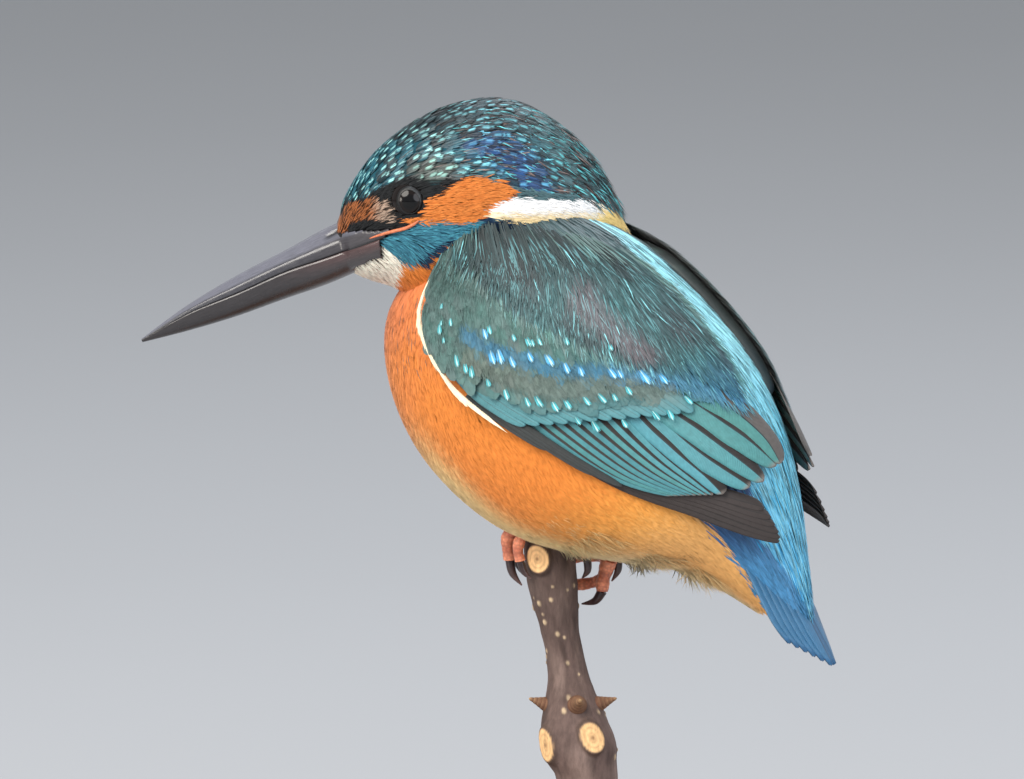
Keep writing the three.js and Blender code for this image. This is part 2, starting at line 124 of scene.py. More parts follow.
def localPoint(form, t, angle, side, grow):
    # the section's middle, plus its half depth times cos(angle), plus its half width times sin(angle)
    bx, bz, fx, fz = midlines(form, t)
    halfDepth = np.hypot(bx - fx, bz - fz) / 2
    stretch = (1 + grow / halfDepth) / 2
    turn = np.radians(angle)
    halfWidth = np.maximum(smoothThrough(form["halfWidth"], t), 0.6)
    x = (bx + fx) / 2 + (bx - fx) * stretch * np.cos(turn)
    y = side * (halfWidth + grow) * np.sin(turn)
    z = (bz + fz) / 2 + (bz - fz) * stretch * np.cos(turn)
    return np.stack([x, y, z], -1)


def surfacePoint(form, t, angle, side, grow):
    return placed(form, localPoint(form, t, angle, side, grow))


def unit(vectors):
    return vectors / np.maximum(np.linalg.norm(vectors, axis=-1, keepdims=True), 1e-9)


def surfaceFrame(form, t, angle, side):
    # millimetres for each share of t and for each degree, and the outward normal
    along = (surfacePoint(form, t + 0.01, angle, side, 0)
        - surfacePoint(form, t - 0.01, angle, side, 0)) / 0.02
    around = surfacePoint(form, t, angle + 1, side, 0) - surfacePoint(form, t, angle - 1, side, 0)
    around = around / 2
    outward = surfacePoint(form, t, angle, side, 1) - surfacePoint(form, t, angle, side, 0)
    normal = unit(np.cross(along, around))
    normal = normal * np.sign((normal * outward).sum(-1, keepdims=True))
    perShare = np.maximum(np.linalg.norm(along, axis=-1), 1.0)
    perDegree = np.maximum(np.linalg.norm(around, axis=-1), 0.02)
    return perShare, perDegree, normal


def whereOn(form, points):
    # the section plane that holds each point lies between the two stations where its distance changes sign
    local = unplaced(form, points)
    stations = np.linspace(0, 1, 61)
    bx, bz, fx, fz = midlines(form, stations)
    mx, mz = (bx + fx) / 2, (bz + fz) / 2
    ex, ez = unit(np.stack([bx - fx, bz - fz], -1)).T
    half = np.hypot(bx - fx, bz - fz) / 2
    ahead = (local[:, None, 0] - mx) * ez - (local[:, None, 2] - mz) * ex
    crossing = (ahead[:, :-1] >= 0) & (ahead[:, 1:] < 0)
    found = crossing.any(1)
    i = np.where(found, crossing.argmax(1), np.where(ahead[:, 0] < 0, 0, 59))
    rows = np.arange(len(points))
    near, far = ahead[rows, i], ahead[rows, i + 1]
    w = np.where(found, near / np.maximum(near - far, 1e-9), (i > 0).astype(float))
    t = (i + w) / 60
    mixed = [a[i] * (1 - w) + a[i + 1] * w for a in (mx, mz, ex, ez, half)]
    height = ((local[:, 0] - mixed[0]) * mixed[2] + (local[:, 2] - mixed[1]) * mixed[3]) / mixed[4]
    width = smoothThrough(form["halfWidth"], t)
    sideways = np.abs(local[:, 1]) / width
    radius = np.hypot(height, sideways)
    radius = np.where(found, radius, 3.0)
    return t, np.degrees(np.arctan2(sideways, height)), radius


# small sums that several pieces share

def linearTone(hexTone):
    # the sRGB curve undone: a twelfth below 0.04, the 2.4th power above it
    parts = np.array([int(hexTone[i:i + 2], 16) / 255 for i in (1, 3, 5)])
    return np.where(parts <= 0.04045, parts / 12.92, ((parts + 0.055) / 1.055) ** 2.4)


def tones(names):
    return {name: linearTone(tone) for name, tone in names.items()}


def cloudy(points, size, seed):
    # eight plane waves in random directions, each about size millimetres long, added up to about -1 to 1
    dice = np.random.default_rng(seed)
    ways = unit(dice.normal(size=(8, 3))) * 2 * math.pi / size
    waves = np.sin(points @ ways.T + dice.uniform(0, 2 * math.pi, 8))
    return waves.sum(-1) / 4.5


def inOutline(x, z, outline):
    # odd number of crossings to the right of the point
    inside = np.zeros(np.shape(x), bool)
    for (x0, z0), (x1, z1) in zip(outline, outline[1:] + outline[:1]):
        if z0 == z1:
            continue
        crosses = (z0 > z) != (z1 > z)
        inside ^= crosses & (x < (x1 - x0) * (z - z0) / (z1 - z0) + x0)
    return inside


def smoothStep(value, low, high):
    share = np.clip((value - low) / (high - low), 0, 1)
    return share * share * (3 - 2 * share)


def lookUp(value, table):
    # read off a short table of pairs
    return np.interp(value, *np.array(table).T)


def blend(first, second, share):
    return first + (second - first) * np.asarray(share)[..., None]


def addPiece(name, replaced, points, faceGroups, material, uvs=None, colours=None, normals=None):
    # points in millimetres, faceGroups a list of arrays of three- or four-sided faces
    mesh = bpy.data.meshes.new(name)
    corners = np.concatenate([f.reshape(-1) for f in faceGroups]).astype(np.int32)
    sizes = np.concatenate([np.full(len(f), f.shape[1]) for f in faceGroups])
    starts = np.concatenate([[0], np.cumsum(sizes)[:-1]]).astype(np.int32)
    mesh.vertices.add(len(points))
    mesh.vertices.foreach_set("co", (points * millimetre).astype(np.float32).ravel())
    mesh.loops.add(len(corners))
    mesh.loops.foreach_set("vertex_index", corners)
    mesh.polygons.add(len(sizes))
    mesh.polygons.foreach_set("loop_start", starts)
    mesh.polygons.foreach_set("use_smooth", np.ones(len(sizes), bool))
    mesh.update(calc_edges=True)
    if normals is not None:
        mesh.normals_split_custom_set_from_vertices(normals.tolist())
    for layer, uv in (uvs or {}).items():
        made = mesh.uv_layers.new(name=layer)
        made.data.foreach_set("uv", uv[corners].astype(np.float32).ravel())
    for label, values in (colours or {}).items():
        filled = np.ones((len(points), 4), np.float32)
        filled[:, :values.shape[1]] = values
        mesh.attributes.new(label, "FLOAT_COLOR", "POINT").data.foreach_set("color", filled.ravel())
    piece = bpy.data.objects.new(name, mesh)
    bpy.context.scene.collection.objects.link(piece)
    mesh.materials.append(material)
    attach(piece, "root")
    if replaced:
        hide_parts(*replaced)
    return piece


def gridFaces(rows, columns, closed):
    # four-sided faces between neighbouring rows; closed joins the last column to the first
    r, c = np.meshgrid(np.arange(rows - 1), np.arange(columns if closed else columns - 1), indexing="ij")
    a = (r * columns + c).ravel()
    b = (r * columns + (c + 1) % columns).ravel()
    return np.stack([a, b, b + columns, a + columns], -1)


def capFaces(ring, centre, flip):
    # a fan of triangles from a ring of points to one point
    following = np.roll(ring, -1)
    ends = np.full(len(ring), centre)
    return np.stack([following, ring, ends] if flip else [ring, following, ends], -1)


def outwardFaces(points, faceGroups):
    # turned round where the volume, summed over the faces' corners, is negative
    volume = 0
    for faces in faceGroups:
        for k in range(1, faces.shape[1] - 1):
            a, b, c = points[faces[:, 0]], points[faces[:, k]], points[faces[:, k + 1]]
            volume += (np.cross(a, b) * c).sum()
    return faceGroups if volume > 0 else [faces[:, ::-1] for faces in faceGroups]


def closedTube(rings):
    # rings of points, each as long as the next, closed at both ends by a fan; rings is rows x columns x 3
    rows, columns = rings.shape[:2]
    ends = np.stack([rings[0].mean(0), rings[-1].mean(0)])
    points = np.concatenate([rings.reshape(-1, 3), ends])
    first = np.arange(columns)
    last = first + (rows - 1) * columns
    groups = [gridFaces(rows, columns, True), capFaces(first, rows * columns, True)]
    groups.append(capFaces(last, rows * columns + 1, False))
    return points, outwardFaces(points, groups)


def alongPath(stations, rows, columns, upward):
    # a path through the stations, and about each place on it a circle of the radius there
    stations = np.asarray(stations, float)
    t = np.linspace(0, 1, rows)
    centre = np.stack([smoothThrough(stations[:, k], t) for k in range(3)], -1)
    radius = smoothThrough(stations[:, 3], t)
    tangent = unit(np.gradient(centre, axis=0))
    across = unit(np.cross(np.asarray(upward, float), tangent))
    height = np.cross(tangent, across)
    turn = np.linspace(0, 2 * math.pi, columns, endpoint=False)
    circle = np.cos(turn)[None, :, None] * across[:, None] + np.sin(turn)[None, :, None] * height[:, None]
    rings = centre[:, None] + radius[:, None, None] * circle
    return rings, centre


def joinedParts(parts):
    # several point and face sets as one
    points = np.concatenate([p for p, _ in parts])
    groups, start = [], 0
    for own, faces in parts:
        groups += [f + start for f in faces]
        start += len(own)
    bySize = [np.concatenate([g for g in groups if g.shape[1] == n]) for n in (3, 4)
        if any(g.shape[1] == n for g in groups)]
    return points, bySize


# materials

def addNode(material, kind, values=None):
    # a value that is a node or its output is linked; a key that is a setting of the new node is set there,
    # and any other is one of its inputs
    node = material.node_tree.nodes.new("ShaderNode" + kind)
    for key, value in (values or {}).items():
        if isinstance(value, bpy.types.Node):
            value = value.outputs[0]
        if isinstance(value, bpy.types.NodeSocket):
            material.node_tree.links.new(value, node.inputs[key])
        elif isinstance(key, str) and hasattr(node, key):
            setattr(node, key, value)
        else:
            node.inputs[key].default_value = value
    return node


def newMaterial(name, finish, links):
    # one Principled surface with the finish given; the links are made by the caller's nodes
    material = bpy.data.materials.new(name)
    material.use_nodes = True
    material.node_tree.nodes.clear()
    add = partial(addNode, material)
    surface = add("BsdfPrincipled", {**finish, **links(add)})
    add("OutputMaterial", {"Surface": surface})
    return material


def barbRidges(add, fromShaft, along, sweep, count):
    # fine waves that run out from the shaft and sweep towards the tip, count of them in a vane's length
    swept = add("Math", {"operation": "MULTIPLY_ADD", 0: fromShaft, 1: -sweep, 2: along})
    turned = add("Math", {"operation": "MULTIPLY", 0: swept, 1: 2 * math.pi * count})
    return add("Math", {"operation": "SINE", 0: turned})


def flecked(size, detail, low, high):
    # the piece's own colour, darker and lighter in flecks of about size millimetres
    def links(add):
        place = add("TexCoord").outputs["Object"]
        flecks = add("TexNoise", {"Scale": 1 / (size * millimetre), "Detail": detail, "Vector": place})
        value = add("MapRange", {0: flecks, 1: 0.3, 2: 0.7, 3: low, 4: high})
        tone = add("Attribute", {"attribute_name": "ground"})
        return {"Base Color": add("HueSaturation", {"Value": value, "Color": tone})}

    return links


def rgba(hexTone):
    return (*linearTone(hexTone), 1)


# Feathers: keratin barbs, matt and a little velvety, and the blue ones shine where light meets them square
# on.
# ground is each vane's own colour, mark the brighter bar near its tip, and Vane tells how far along it lies.
def plumage(name, look):
    def links(add):
        vane = add("UVMap", {"uv_map": "Vane"})
        share = add("SeparateXYZ", {0: vane})
        place = add("TexCoord")
        ground = add("Attribute", {"attribute_name": "ground"})
        mark = add("Attribute", {"attribute_name": "mark"})
        start, end, soft = look["bar"]
        rising = add("MapRange", {"interpolation_type": "SMOOTHSTEP", 0: share.outputs["Y"], 1: start,
            2: start + soft})
        falling = add("MapRange", {"interpolation_type": "SMOOTHSTEP", 0: share.outputs["Y"], 1: end - soft,
            2: end, 3: 1, 4: 0})
        both = add("Math", {"operation": "MULTIPLY", 0: rising, 1: falling})
        strength = add("Math", {"operation": "MULTIPLY", 0: both, 1: mark.outputs["Alpha"]})
        colour = add("Mix", {"data_type": "RGBA", 0: strength, 6: ground, 7: mark})
        grain = add("TexNoise", {"Scale": 1 / (look["grain"] * millimetre), "Detail": 3,
            "Vector": place.outputs["Object"]})
        value = add("MapRange", {0: grain, 1: 0.25, 2: 0.75, 3: 1 - look["depth"], 4: 1 + look["depth"]})
        shaded = add("HueSaturation", {"Value": value, "Color": colour.outputs[2]})
        made = {"Base Color": shaded}
        if "barbs" in look:
            middle = add("Math", {"operation": "SUBTRACT", 0: share.outputs["X"], 1: 0.5})
            fromShaft = add("Math", {"operation": "ABSOLUTE", 0: middle})
            count, sweep = look["barbs"]
            ridges = barbRidges(add, fromShaft, share.outputs["Y"], sweep, count)
            bump = add("Bump", {"Strength": 0.5, "Distance": 0.08 * millimetre, "Height": ridges})
            made["Normal"] = bump
        return made

    return newMaterial(name, look["finish"], links)


downFinish = {"Roughness": 0.75, "Specular IOR Level": 0.2, "Sheen Weight": 0.15, "Sheen Roughness": 0.5}
vaneFinish = {"Roughness": 0.5, "Specular IOR Level": 0.35, "Sheen Weight": 0.1, "Sheen Roughness": 0.4}
glossFinish = {"Roughness": 0.38, "Specular IOR Level": 0.5, "Sheen Weight": 0.1, "Sheen Roughness": 0.3}

downPlumage = plumage("soft body feathers",
    {"bar": (0.5, 1.1, 0.2), "grain": 0.9, "depth": 0.08, "finish": downFinish})
crownPlumage = plumage("barred crown feathers",
    {"bar": (0.5, 0.95, 0.14), "grain": 0.5, "depth": 0.15, "finish": glossFinish})
azurePlumage = plumage("azure back feathers",
    {"bar": (0.15, 1.1, 0.2), "grain": 0.6, "depth": 0.1, "finish": glossFinish})
barbPlumage = plumage("grey green barbs",
    {"bar": (0.3, 1.0, 0.2), "grain": 0.7, "depth": 0.12, "finish": vaneFinish})
covertPlumage = plumage("wing covert vanes",
    {"bar": (0.55, 1.1, 0.3), "grain": 0.8, "depth": 0.1, "barbs": (26, 0.5), "finish": vaneFinish})


# growing feathers

noMark = np.zeros(4)
bakePatch = 0.003  # the share of the map that one feather takes, so that neighbours hardly overlap


# One feather: a strip with a ridge down its middle, a flat underside and a point, of 6 faces a station.
# A place on it is the surface at (t, angle) moved along by the lie, lifted by a height that runs from the
# root below the surface to the tip above it, and sideways by its half width at that share. Its shading
# follows the body under it, bulged a little across, so that many barbs look like one soft coat.
def growFeathers(form, roots, look, dice):
    count = len(roots["t"])
    shares = np.array(look.get("shares", [0, 0.3, 0.65, 1]))
    widths = np.array(look.get("widths", [0.7, 1, 0.8, 0]))
    zero = np.zeros(count)
    slant = np.radians(roots.get("slant", zero))
    length = roots["length"]
    width = roots["width"]
    side = roots["side"]
    perShare, perDegree, _ = surfaceFrame(form, roots["t"], roots["angle"], side)
    bend = roots.get("bend", zero)
    startShift = roots.get("startShift", zero)
    endShift = roots.get("endShift", zero)
    s = shares[None, :]
    alongMm = length[:, None] * s
    sideMm = startShift[:, None] + (endShift - startShift)[:, None] * s + (bend * length)[:, None] * s * s
    toward = alongMm * np.cos(slant)[:, None] - sideMm * np.sin(slant)[:, None]
    aside = alongMm * np.sin(slant)[:, None] + sideMm * np.cos(slant)[:, None]
    t = roots["t"][:, None] + toward / perShare[:, None]
    angle = roots["angle"][:, None] + aside / perDegree[:, None]
    depth = roots.get("depth", np.full(count, look["depth"]))
    rise = roots["rise"]
    lift = -depth[:, None] + (depth + rise)[:, None] * s ** look.get("curve", 0.6)
    sides = np.repeat(side[:, None], len(shares), 1)
    centre = surfacePoint(form, t, angle, sides, lift)
    _, _, normal = surfaceFrame(form, t, angle, sides)
    tangent = unit(np.gradient(centre, axis=1))
    across = unit(np.cross(normal, tangent))
    half = (width[:, None] * widths / 2)[..., None]
    thick = look.get("thick", 0.1)
    tilt = roots.get("tilt", zero)[:, None, None] * half
    leftEdge = centre + across * half + normal * tilt
    rightEdge = centre - across * half - normal * tilt
    ridge = centre + normal * (thick * np.sqrt(widths))[None, :, None]
    rows = len(shares) - 1
    body = np.stack([leftEdge[:, :rows], ridge[:, :rows], rightEdge[:, :rows]], 2).reshape(count, rows * 3, 3)
    points = np.concatenate([body, centre[:, rows:]], 1)
    soft = normal + look.get("wobble", 0.07) * dice.normal(size=(count, 1, 3))
    bulge = look.get("bulge", 0.3) * across
    shading = np.stack([soft + bulge, soft, soft - bulge], 2)[:, :rows].reshape(count, rows * 3, 3)
    normals = unit(np.concatenate([shading, soft[:, rows:]], 1))
    each = rows * 3 + 1
    faces = []
    for r in range(rows - 1):
        a = 3 * r
        faces += [[a, a + 1, a + 4], [a, a + 4, a + 3], [a + 1, a + 2, a + 5], [a + 1, a + 5, a + 4]]
        faces += [[a + 2, a, a + 3], [a + 2, a + 3, a + 5]]
    a = 3 * (rows - 1)
    faces += [[a, a + 1, a + 3], [a + 1, a + 2, a + 3], [a + 2, a, a + 3], [0, 2, 1]]
    faces = np.array(faces)
    corner = points[:, faces]
    volume = (np.cross(corner[:, :, 0], corner[:, :, 1]) * corner[:, :, 2]).sum((1, 2))
    allFaces = faces[None] + (np.arange(count) * each)[:, None, None]
    allFaces = np.where((volume < 0)[:, None, None], allFaces[:, :, ::-1], allFaces)
    u = np.concatenate([np.tile([0, 0.5, 1], rows), [0.5]])
    v = np.concatenate([np.repeat(shares[:rows], 3), [1]])
    vane = np.tile(np.stack([u, v], -1)[None], (count, 1, 1))
    homeU = 0.5 + side * roots["angle"] / mapTurn
    homeV = 0.01 + 0.98 * np.clip(roots["t"], 0, 1)
    bake = np.stack([homeU, homeV], -1)[:, None] + (vane - 0.5) * bakePatch
    ring = np.concatenate([np.repeat(np.arange(rows), 3), [rows]])
    return {"points": points.reshape(-1, 3), "faces": allFaces.reshape(-1, 3),
        "normals": normals.reshape(-1, 3), "vane": vane.reshape(-1, 2),
        "bake": np.clip(bake, 0, 1).reshape(-1, 2), "each": each, "t": t[:, ring].reshape(-1),
        "angle": angle[:, ring].reshape(-1), "share": shares[ring]}


def shadedTones(grown, ground, mark, look, dice):
    # each feather's colour, with painted shade towards its hidden root, and a little change from one to the
    # next
    share = grown["share"]
    shade = look.get("rootShade", 0.55) + (1 - look.get("rootShade", 0.55)) * smoothStep(share, 0, 0.7)
    change = 1 + look.get("change", 0.08) * dice.normal(size=len(ground))
    rows = np.repeat(ground[:, None], grown["each"], 1) * shade[None, :, None] * np.clip(change, 0.5,
        1.6)[:, None, None]
    marks = np.repeat(mark[:, None], grown["each"], 1)
    return np.clip(rows, 0, 1).reshape(-1, 3), np.clip(marks, 0, 1).reshape(-1, 4)


def coatPiece(name, replaced, material, layers):
    # several sets of feathers as one closed mesh
    start, faces = 0, []
    for grown, _, _ in layers:
        faces.append(grown["faces"] + start)
        start += len(grown["points"])
    gathered = {key: np.concatenate([grown[key] for grown, _, _ in layers])
        for key in ("points", "vane", "bake", "normals")}
    colours = {"ground": np.concatenate([g for _, g, _ in layers]),
        "mark": np.concatenate([m for _, _, m in layers])}
    uvs = {"OFBake": gathered["bake"], "Vane": gathered["vane"]}
    allFaces = np.concatenate(faces)
    print(name, len(allFaces), "faces")
    return addPiece(name, replaced, gathered["points"], [allFaces], material, uvs, colours,
        gathered["normals"])


def feathered(name, replaced, material, form, roots, ground, look, dice, mark=None):
    # one set of feathers grown, toned and made a piece
    mark = np.tile(noMark, (len(ground), 1)) if mark is None else mark
    grown = growFeathers(form, roots, look, dice)
    coatPiece(name, replaced, material, [(grown, *shadedTones(grown, ground, mark, look, dice))])


def scatter(form, alongRange, roundRange, perSquareMm, dice, sides=(left, right)):
    # an even spread: places are kept in proportion to the surface that they stand for
    trial = dice.uniform(size=(4000, 2))
    t = alongRange[0] + trial[:, 0] * (alongRange[1] - alongRange[0])
    angle = roundRange[0] + trial[:, 1] * (roundRange[1] - roundRange[0])
    perShare, perDegree, _ = surfaceFrame(form, t, angle, np.ones(len(t)))
    spread = perShare * perDegree
    area = spread.mean() * (alongRange[1] - alongRange[0]) * (roundRange[1] - roundRange[0])
    most = spread.max()
    found = []
    for side in sides:
        wanted = int(area * perSquareMm)
        trial = dice.uniform(size=(int(wanted * most / spread.mean() * 1.1) + 8, 3))
        t = alongRange[0] + trial[:, 0] * (alongRange[1] - alongRange[0])
        angle = roundRange[0] + trial[:, 1] * (roundRange[1] - roundRange[0])
        perShare, perDegree, _ = surfaceFrame(form, t, angle, np.ones(len(t)))
        kept = trial[:, 2] * most < perShare * perDegree
        found.append(np.stack([t[kept], angle[kept], np.full(kept.sum(), side)])[:, :wanted])
    t, angle, side = np.concatenate(found, 1)
    return {"t": t, "angle": angle, "side": side}


def only(roots, kept):
    return {key: value[kept] for key, value in roots.items()}


def sized(roots, look, dice):
    # length, width and rise with their own chance changes
    count = len(roots["t"])
    roots["length"] = look["length"] * dice.uniform(0.8, 1.2, count)
    roots["width"] = look["width"] * dice.uniform(0.8, 1.2, count)
    roots["rise"] = look["rise"] * dice.uniform(0.1, 1.3, count)
    roots["slant"] = roots.get("slant", 0) + look.get("stray", 6) * dice.normal(size=count)
    roots["bend"] = look.get("curl", 0.06) * dice.normal(size=count)
    return roots


def marked(tone, strength, count):
    marks = np.zeros((count, 4))
    marks[:, :3] = tone
    marks[:, 3] = strength
    return marks


# the head's markings, on its profile

headPlan = {
    "sink": 0.12,  # of the distance from the middle, because the profile was drawn from a little above
    "horn": [[-26, -5], [-21.25, -5.6], [-18.2, -5.3], [-15.7, -5.4], [-12.9, -4.85], [-11.6, -5],
        [-13.6, -6.2], [-14.9, -7.2], [-14.5, -9.9], [-15.7, -10.1], [-19.7, -11.7], [-22.2, -13.5],
        [-26, -15]],
    "loral": [[-19.8, -4.0], [-17.8, -3.5], [-15.4, -3.7], [-13, -3.9], [-10.5, -3.8], [-9.5, -4.6],
        [-13, -5.6], [-19, -5.6], [-20.4, -5.0]],
    "crownEdge": [[-24, -1.5], [-20, -0.5], [-17, 0.4], [-14, 2.4], [-10, 3.6], [-6, 2.2], [-2, 3.2], [1, 4],
        [4, 3.4], [8, 1.6], [13, 0.7], [20, -0.1], [27, -2.6]],
    "ear": [[-8.7, -2.4], [-6.7, -0.2], [-4, 1.3], [-1.6, 3.1], [0.8, 3.7], [3.9, 3.1], [6.6, 2.1],
        [7.8, 1.3], [6.6, -0.2], [3.9, -1.2], [2.5, -2.8], [0.8, -4], [-1.9, -4.3], [-4.6, -4.1],
        [-6.7, -3.8], [-8.4, -3.5]],
    "lores": [[-25, -2.5], [-22, -0.5], [-18.2, -0.5], [-16.4, 0.1], [-13.4, -0.6], [-12.4, -3.9],
        [-18.2, -4.3], [-20.6, -5.6], [-25, -5.6]],
    "white": [[2.2, -3.3], [3.2, -1.2], [5.6, -0.2], [13.4, 0], [19.2, -0.3], [23, -1.6], [27, -3.6],
        [27, -5.4], [21.6, -4.2], [15.8, -3.6], [13.1, -3.9], [9.7, -4.5], [7.6, -4.1], [4.9, -3.4]],
    "malar": [[-15, -7.2], [-12.1, -5.3], [-8.7, -4], [-6.7, -4.2], [0.8, -4.2], [1.5, -3.6], [2.4, -5.6],
        [-3.3, -6.9], [-6.7, -9], [-8.7, -10.9], [-10.1, -11.8], [-11.8, -10.3], [-13.5, -9]],
    "navy": [[0.8, -4.3], [2.4, -3.2], [9.5, -4.4], [11, -6.5], [2.5, -7.6], [-3, -8], [-7.5, -11.5],
        [-8.9, -11], [-6.7, -9], [-3.3, -6.9]],
}
headTone = tones({
    "black": "#191b1d", "crown": "#155160", "top": "#242f33", "hind": "#153b68", "nape": "#3c585d",
    "barFront": "#aef4f2", "barMid": "#86e4f4", "barHind": "#4590d0", "barNape": "#62cbd2", "ear": "#db833f",
    "earDeep": "#d07331", "lores": "#97582f", "buff": "#a48d7c", "white": "#ffffff", "cream": "#f8d688",
    "malar": "#326a80", "malarBright": "#4a98ac", "navy": "#17304a", "throat": "#fff8e6", "brown": "#6a5b57",
    "neck": "#4d6a70", "dull": "#47524f", "barDull": "#9fd6c2", "horn": "#1b1a1b",
})


def onProfile(local):
    # a place on the head's side as it lies on the profile: the further out, the lower it is drawn
    return local[:, 0], local[:, 2] - headPlan["sink"] * np.abs(local[:, 1])


def headTones(x, z, dice):
    # ground colour, bar colour with its strength, and the kind of feather, at places on the head's profile
    count = len(x)
    kind = np.full(count, "breast", dtype="<U6")
    edge = np.array(headPlan["crownEdge"])
    kind[(x > 1) & (z > -12)] = "neck"
    kind[(x > -13) & (x < -6) & (z > -6) & (z < -1)] = "ear"
    kind[(x > -13) & (x < -6) & (z >= -1)] = "black"
    kind[(x > -9) & (x <= 1) & (z > -2.5)] = "black"
    kind[(x < -11.4 + 0.31 * (z + 11.7)) & (z < -6)] = "throat"
    kind[(x < -11.5) & (z >= -6)] = "black"
    for name in ("navy", "malar", "white", "ear"):
        kind[inOutline(x, z, headPlan[name])] = name
    kind[np.hypot((x + 10.6) / 3.9, (z + 0.1) / 3.3) < 1] = "black"
    kind[inOutline(x, z, headPlan["lores"])] = "lores"
    kind[inOutline(x, z, headPlan["loral"])] = "black"
    kind[inOutline(x, z, headPlan["horn"])] = "horn"
    kind[z > np.interp(x, edge[:, 0], edge[:, 1])] = "crown"
    wave = dice.uniform(size=count)
    tone = headTone
    ground = np.zeros((count, 3))
    mark = np.zeros((count, 4))
    for name in ("black", "white", "navy", "throat", "neck", "horn"):
        ground[kind == name] = tone[name]
    ground[kind == "breast"] = bodyTone["orange"]
    ground[kind == "ear"] = blend(tone["ear"], tone["earDeep"], wave)[kind == "ear"]
    hairy = blend(tone["lores"], tone["buff"], smoothStep(x, -17, -14.5)) * np.where(wave < 0.28, 0.2,
        1)[:, None]
    ground[kind == "lores"] = hairy[kind == "lores"]
    cream = smoothStep(-z, 1.6, 3.4) * 0.8 + smoothStep(x, 20, 23)
    ground[kind == "white"] = blend(tone["white"], tone["cream"], np.clip(cream, 0, 1))[kind == "white"]
    ground[kind == "malar"] = blend(tone["malar"], tone["malarBright"], wave ** 2)[kind == "malar"]
    crown = kind == "crown"
    # a blue band slants back from the top of the crown, and the feathers over the eye are duller
    hind = 1 - smoothStep(np.abs((x + 0.2) * 0.63 + (z - 12.6) * 0.777), 1.6, 4.2)
    hind = hind * smoothStep(x, -3, 2) * (1 - smoothStep(x, 12, 15)) * (1 - smoothStep(z, 9, 13))
    dull = 1 - smoothStep(np.hypot((x + 6) / 5, (z - 4.8) / 2.6), 0.5, 1.3)
    nape = smoothStep(x + 0.4 * z, 12, 19)
    top = smoothStep(z, 8, 13) * 0.85
    crownGround = blend(blend(tone["crown"], tone["dull"], dull), tone["top"], top)
    ground[crown] = blend(blend(crownGround, tone["hind"], hind), tone["nape"], nape)[crown]
    bar = blend(tone["barFront"], tone["barMid"], smoothStep(x, -8, 2))
    bar = blend(bar, tone["barDull"], dull * 0.7)
    bar = blend(bar, tone["barHind"], hind * 0.8)
    bar = blend(bar, tone["barNape"], nape)
    mark[crown, :3] = bar[crown]
    mark[crown, 3] = (1 - 0.4 * top)[crown]
    return ground, mark, kind


# the body's markings, by share along it and angle round it

bodyPlan = {
    "azureEdge": [[0, 6], [0.06, 8], [0.14, 10], [0.22, 12], [0.3, 14], [0.5, 17], [0.7, 38], [0.79, 46],
        [0.84, 36], [0.89, 27], [0.94, 20], [1, 12]],
    "orangeEdge": [[0, 96], [0.15, 96], [0.3, 84], [0.5, 74], [0.7, 66], [0.81, 73], [0.875, 80], [0.93, 89],
        [1, 102]],
}
bodyTone = tones({
    "rufous": "#dc7e4c", "orange": "#e98839", "warm": "#eca24a", "buff": "#fbdc98", "pale": "#fff0b8",
    "vent": "#ebd3a2", "shadeUnderHead": "#b9653c", "rumpLow": "#1070a6", "smudge": "#8d6350", "azure": "#60cff2",
    "azureLight": "#a4ecfa", "azureDeep": "#0e94d8", "mantle": "#41585c", "deep": "#4486b4",
    "shadowed": "#27578c",
})


def bodyTones(t, angle, points):
    azureEdge = lookUp(t, bodyPlan["azureEdge"])
    orangeEdge = lookUp(t, bodyPlan["orangeEdge"])
    cloud = cloudy(points, 9, 3)
    tone = bodyTone
    breast = blend(tone["rufous"], tone["orange"], smoothStep(t + 0.05 * cloud, 0.08, 0.34))
    # painted shade: the breast darker at its very top, under the head
    breast = blend(tone["shadeUnderHead"], breast, smoothStep(t, -0.02, 0.1))
    breast = blend(breast, tone["warm"], smoothStep(t, 0.5, 0.7))
    low = smoothStep(angle, 126, 148) * smoothStep(t, 0.3, 0.46) * 0.85
    breast = blend(breast, tone["buff"], low)
    vent = smoothStep(t, 0.62, 0.76) * (0.3 + 0.7 * smoothStep(angle, 105, 145))
    # a shaded fold runs down between the belly and the undertail
    fold = np.exp(-((t - 0.79 + 0.0011 * (angle - 115)) / 0.009) ** 2) * smoothStep(angle, 88, 100)
    breast = blend(breast, tone["vent"], vent * 0.8) * (1 - 0.45 * fold)[:, None]
    back = blend(tone["azureLight"], tone["azure"], smoothStep(t, 0.35, 0.6))
    back = blend(back, tone["azureDeep"], smoothStep(t, 0.55, 0.85) * (0.75 + 0.25 * cloud))
    back = blend(back, tone["rumpLow"], smoothStep(t, 0.86, 0.98) * 0.8)
    ground = np.where((angle > orangeEdge)[:, None], breast, tone["mantle"])
    # painted shadow: the blue side darker under the wing tips, turning to the deep blue further back
    side = (angle <= orangeEdge) & (t > 0.55)
    ground = np.where(side[:, None], blend(tone["shadowed"], tone["deep"], smoothStep(t, 0.72, 0.86)), ground)
    return np.where((angle < azureEdge)[:, None], back, ground)


# the wing's markings, on its surface laid flat

